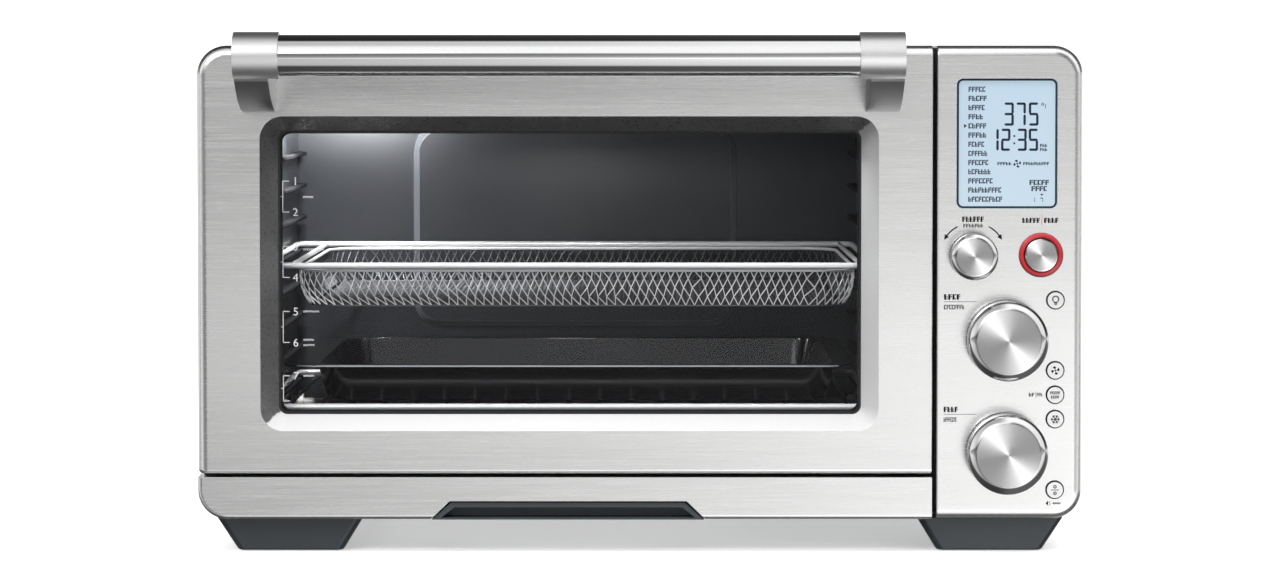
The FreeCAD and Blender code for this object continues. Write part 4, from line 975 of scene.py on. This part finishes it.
def make_studio():
    """Plain white to the camera, a soft gradient to matt surfaces, soft boxes to glossy ones."""
    world = bpy.data.worlds.new("studio")
    bpy.context.scene.world = world
    world.use_nodes = True
    tree = world.node_tree
    where = add(tree, "ShaderNodeTexCoord")
    split = add(tree, "ShaderNodeSeparateXYZ")
    tree.links.new(where.outputs["Generated"], split.inputs[0])
    x, z = split.outputs["X"], split.outputs["Z"]
    toward_front = maths(tree, "MULTIPLY", split.outputs["Y"], -1)
    over = direction_ramp(tree, z, toward_front, (
        (-180, 0.9), (-168, 0.9), (-150, 0.25), (-100, 0.10), (-66, 0.10), (-52, 0.8), (-16, 0.95),
        (-9, 0.55), (2, 0.35), (8, 0.25), (16, 1.0), (80, 1.0), (92, 0.03), (130, 0.05),
        (163, 0.15), (174, 0.9), (180, 0.9)))
    wheel = direction_ramp(tree, z, x, (
        (-180, 0.30), (-165, 0.18), (-150, 0.18), (-123, 0.20), (-100, 0.6), (-85, 0.95), (-50, 3.0),
        (-20, 0.9), (0, 0.30), (35, 0.25), (57, 0.0), (72, 0.2), (82, 1.0), (98, 1.0),
        (130, 3.6), (152, 0.9), (170, 0.25)))
    aside = maths(tree, "MULTIPLY_ADD", x, 0.5, 0.5)
    level = level_ramp(tree, aside, (
        (0.0, 0.85), (0.1, 0.6), (0.3, 0.42), (0.42, 0.42), (0.47, 0.60), (0.53, 0.95), (0.58, 1.1),
        (0.7, 1.1), (1.0, 0.8)))
    span = add(tree, "ShaderNodeCombineXYZ")
    tree.links.new(x, span.inputs["X"])
    tree.links.new(z, span.inputs["Z"])
    away = map_range(tree, vector_length(tree, span.outputs[0]), (0.16, 0.26), curve="SMOOTHSTEP")
    ahead = map_range(tree, toward_front, (0.45, 0.75), curve="SMOOTHSTEP")
    pattern = blend(tree, maths(tree, "MULTIPLY", away, ahead), level, wheel)
    boxes = maths(tree, "MULTIPLY", over, pattern)
    soft = map_range(tree, z, (-0.5, 0.8), (0.11, 0.68), "SMOOTHSTEP")
    ray = add(tree, "ShaderNodeLightPath")
    ambient = blend(tree, ray.outputs["Is Diffuse Ray"], boxes, soft)
    backdrop = blend(tree, ray.outputs["Is Camera Ray"], ambient, 1.0)
    background = tree.nodes["Background"]
    tree.links.new(backdrop, background.inputs["Color"])
    background.inputs["Strength"].default_value = 1.45


def make_floor():
    """A plain white floor, glowing softly away from the oven so that it has no far edge."""
    reach, gap_below = 40.0, 0.0005
    mesh = bpy.data.meshes.new("floor")
    mesh.from_pydata([(-reach, -reach, 0), (reach, -reach, 0), (reach, reach, 0), (-reach, reach, 0)],
                     [], [(0, 1, 2, 3)])
    floor = bpy.data.objects.new("floor", mesh)
    bpy.context.scene.collection.objects.link(floor)
    floor.location.z = -gap_below
    material, tree, shader = new_material("floor_paint")
    soft = noise(tree, local_point(tree), 3.0, 2.0)
    tree.links.new(shades(tree, spread(tree, soft, 0, 1), (0.90, 0.90, 0.90), (0.92, 0.92, 0.92)),
                   shader.inputs["Base Color"])
    shader.inputs["Roughness"].default_value = 0.9
    shader.inputs["Emission Color"].default_value = (1, 1, 1, 1)
    distance = vector_length(tree, local_point(tree))
    glow = map_range(tree, distance, (0.4, 1.6), (0.4, 1.1), "SMOOTHSTEP")
    tree.links.new(glow, shader.inputs["Emission Strength"])
    mesh.materials.append(material)
    floor.visible_glossy = False
    floor.visible_diffuse = False


def make_lights():
    """Lights at the left, top, right and rear, a low strip in front, and three small ones inside."""
    bpy.context.scene.view_settings.view_transform = "Standard"
    lamps = [
        area_light("key_light", (-1.3, -2.0, 1.7), (0, -0.1, 0.15), 0.9, 0.9, 28),
        area_light("top_light", (0, -0.95, 1.75), (0, -0.15, 0.1), 1.2, 0.6, 32),
        area_light("right_light", (2.0, -1.2, 0.8), (0.1, 0, 0.15), 0.9, 1.4, 6),
        area_light("rear_light", (0.9, 2.2, 1.6), (0, 0.2, 0.15), 1.6, 1.2, 40),
    ]
    for lamp in lamps:
        lamp.visible_glossy = False
    sheen = area_light("low_front_light", (0.18, -1.2, 0.05), (0.18, 0, 0.05), 1.5, 0.12, 0.28)
    sheen.visible_diffuse = False
    corner = node_box("cavity_roof")[0]
    roof = corner.z * MM - 0.004
    middle_y = corner.y * MM + 0.012 + 0.03
    left = area_light("cavity_left_light", (-0.205, 0.06, roof), (-0.25, 0.14, 0.22), 0.06, 0.012, 1.5)
    middle = area_light("cavity_light", (-0.055, middle_y, roof), (-0.055, 0.18, 0.15), 0.04, 0.012, 0.3)
    basket = area_light("basket_light", (-0.04, -0.127, 0.25), (-0.04, -0.10, 0.165), 0.36, 0.008, 0.4)
    for lamp in (left, middle, basket):
        lamp.visible_camera = False
    basket.visible_glossy = False


def make_camera():
    """Straight-on view from about the handle's height, with the lens shifted down a little."""
    data = bpy.data.cameras.new("camera")
    data.sensor_width = 36.0
    data.lens = 100.7
    data.shift_y = -0.08
    camera = bpy.data.objects.new("camera", data)
    distance, height = 2.2, 0.3045
    drop = 0.1816
    tilt = math.atan((drop + data.shift_y) * data.sensor_width / data.lens)
    camera.location = (0, FASCIA_Y * MM - distance, height)
    camera.rotation_euler = (math.pi / 2 - tilt, 0, 0)
    bpy.context.scene.collection.objects.link(camera)
    bpy.context.scene.camera = camera


make_camera()
make_studio()
make_floor()
make_lights()
dress_cad_nodes()
satin_and_shade_window_bevel()
paint_pan_rim_highlight()
paint_rack_rod_shade()
finish_embossed_edge()
paint_bracket_leg_shade()
make_knobs()
make_start_button()
make_small_buttons()
make_fascia_marks()
make_display()
make_glass_marks()
make_basket()
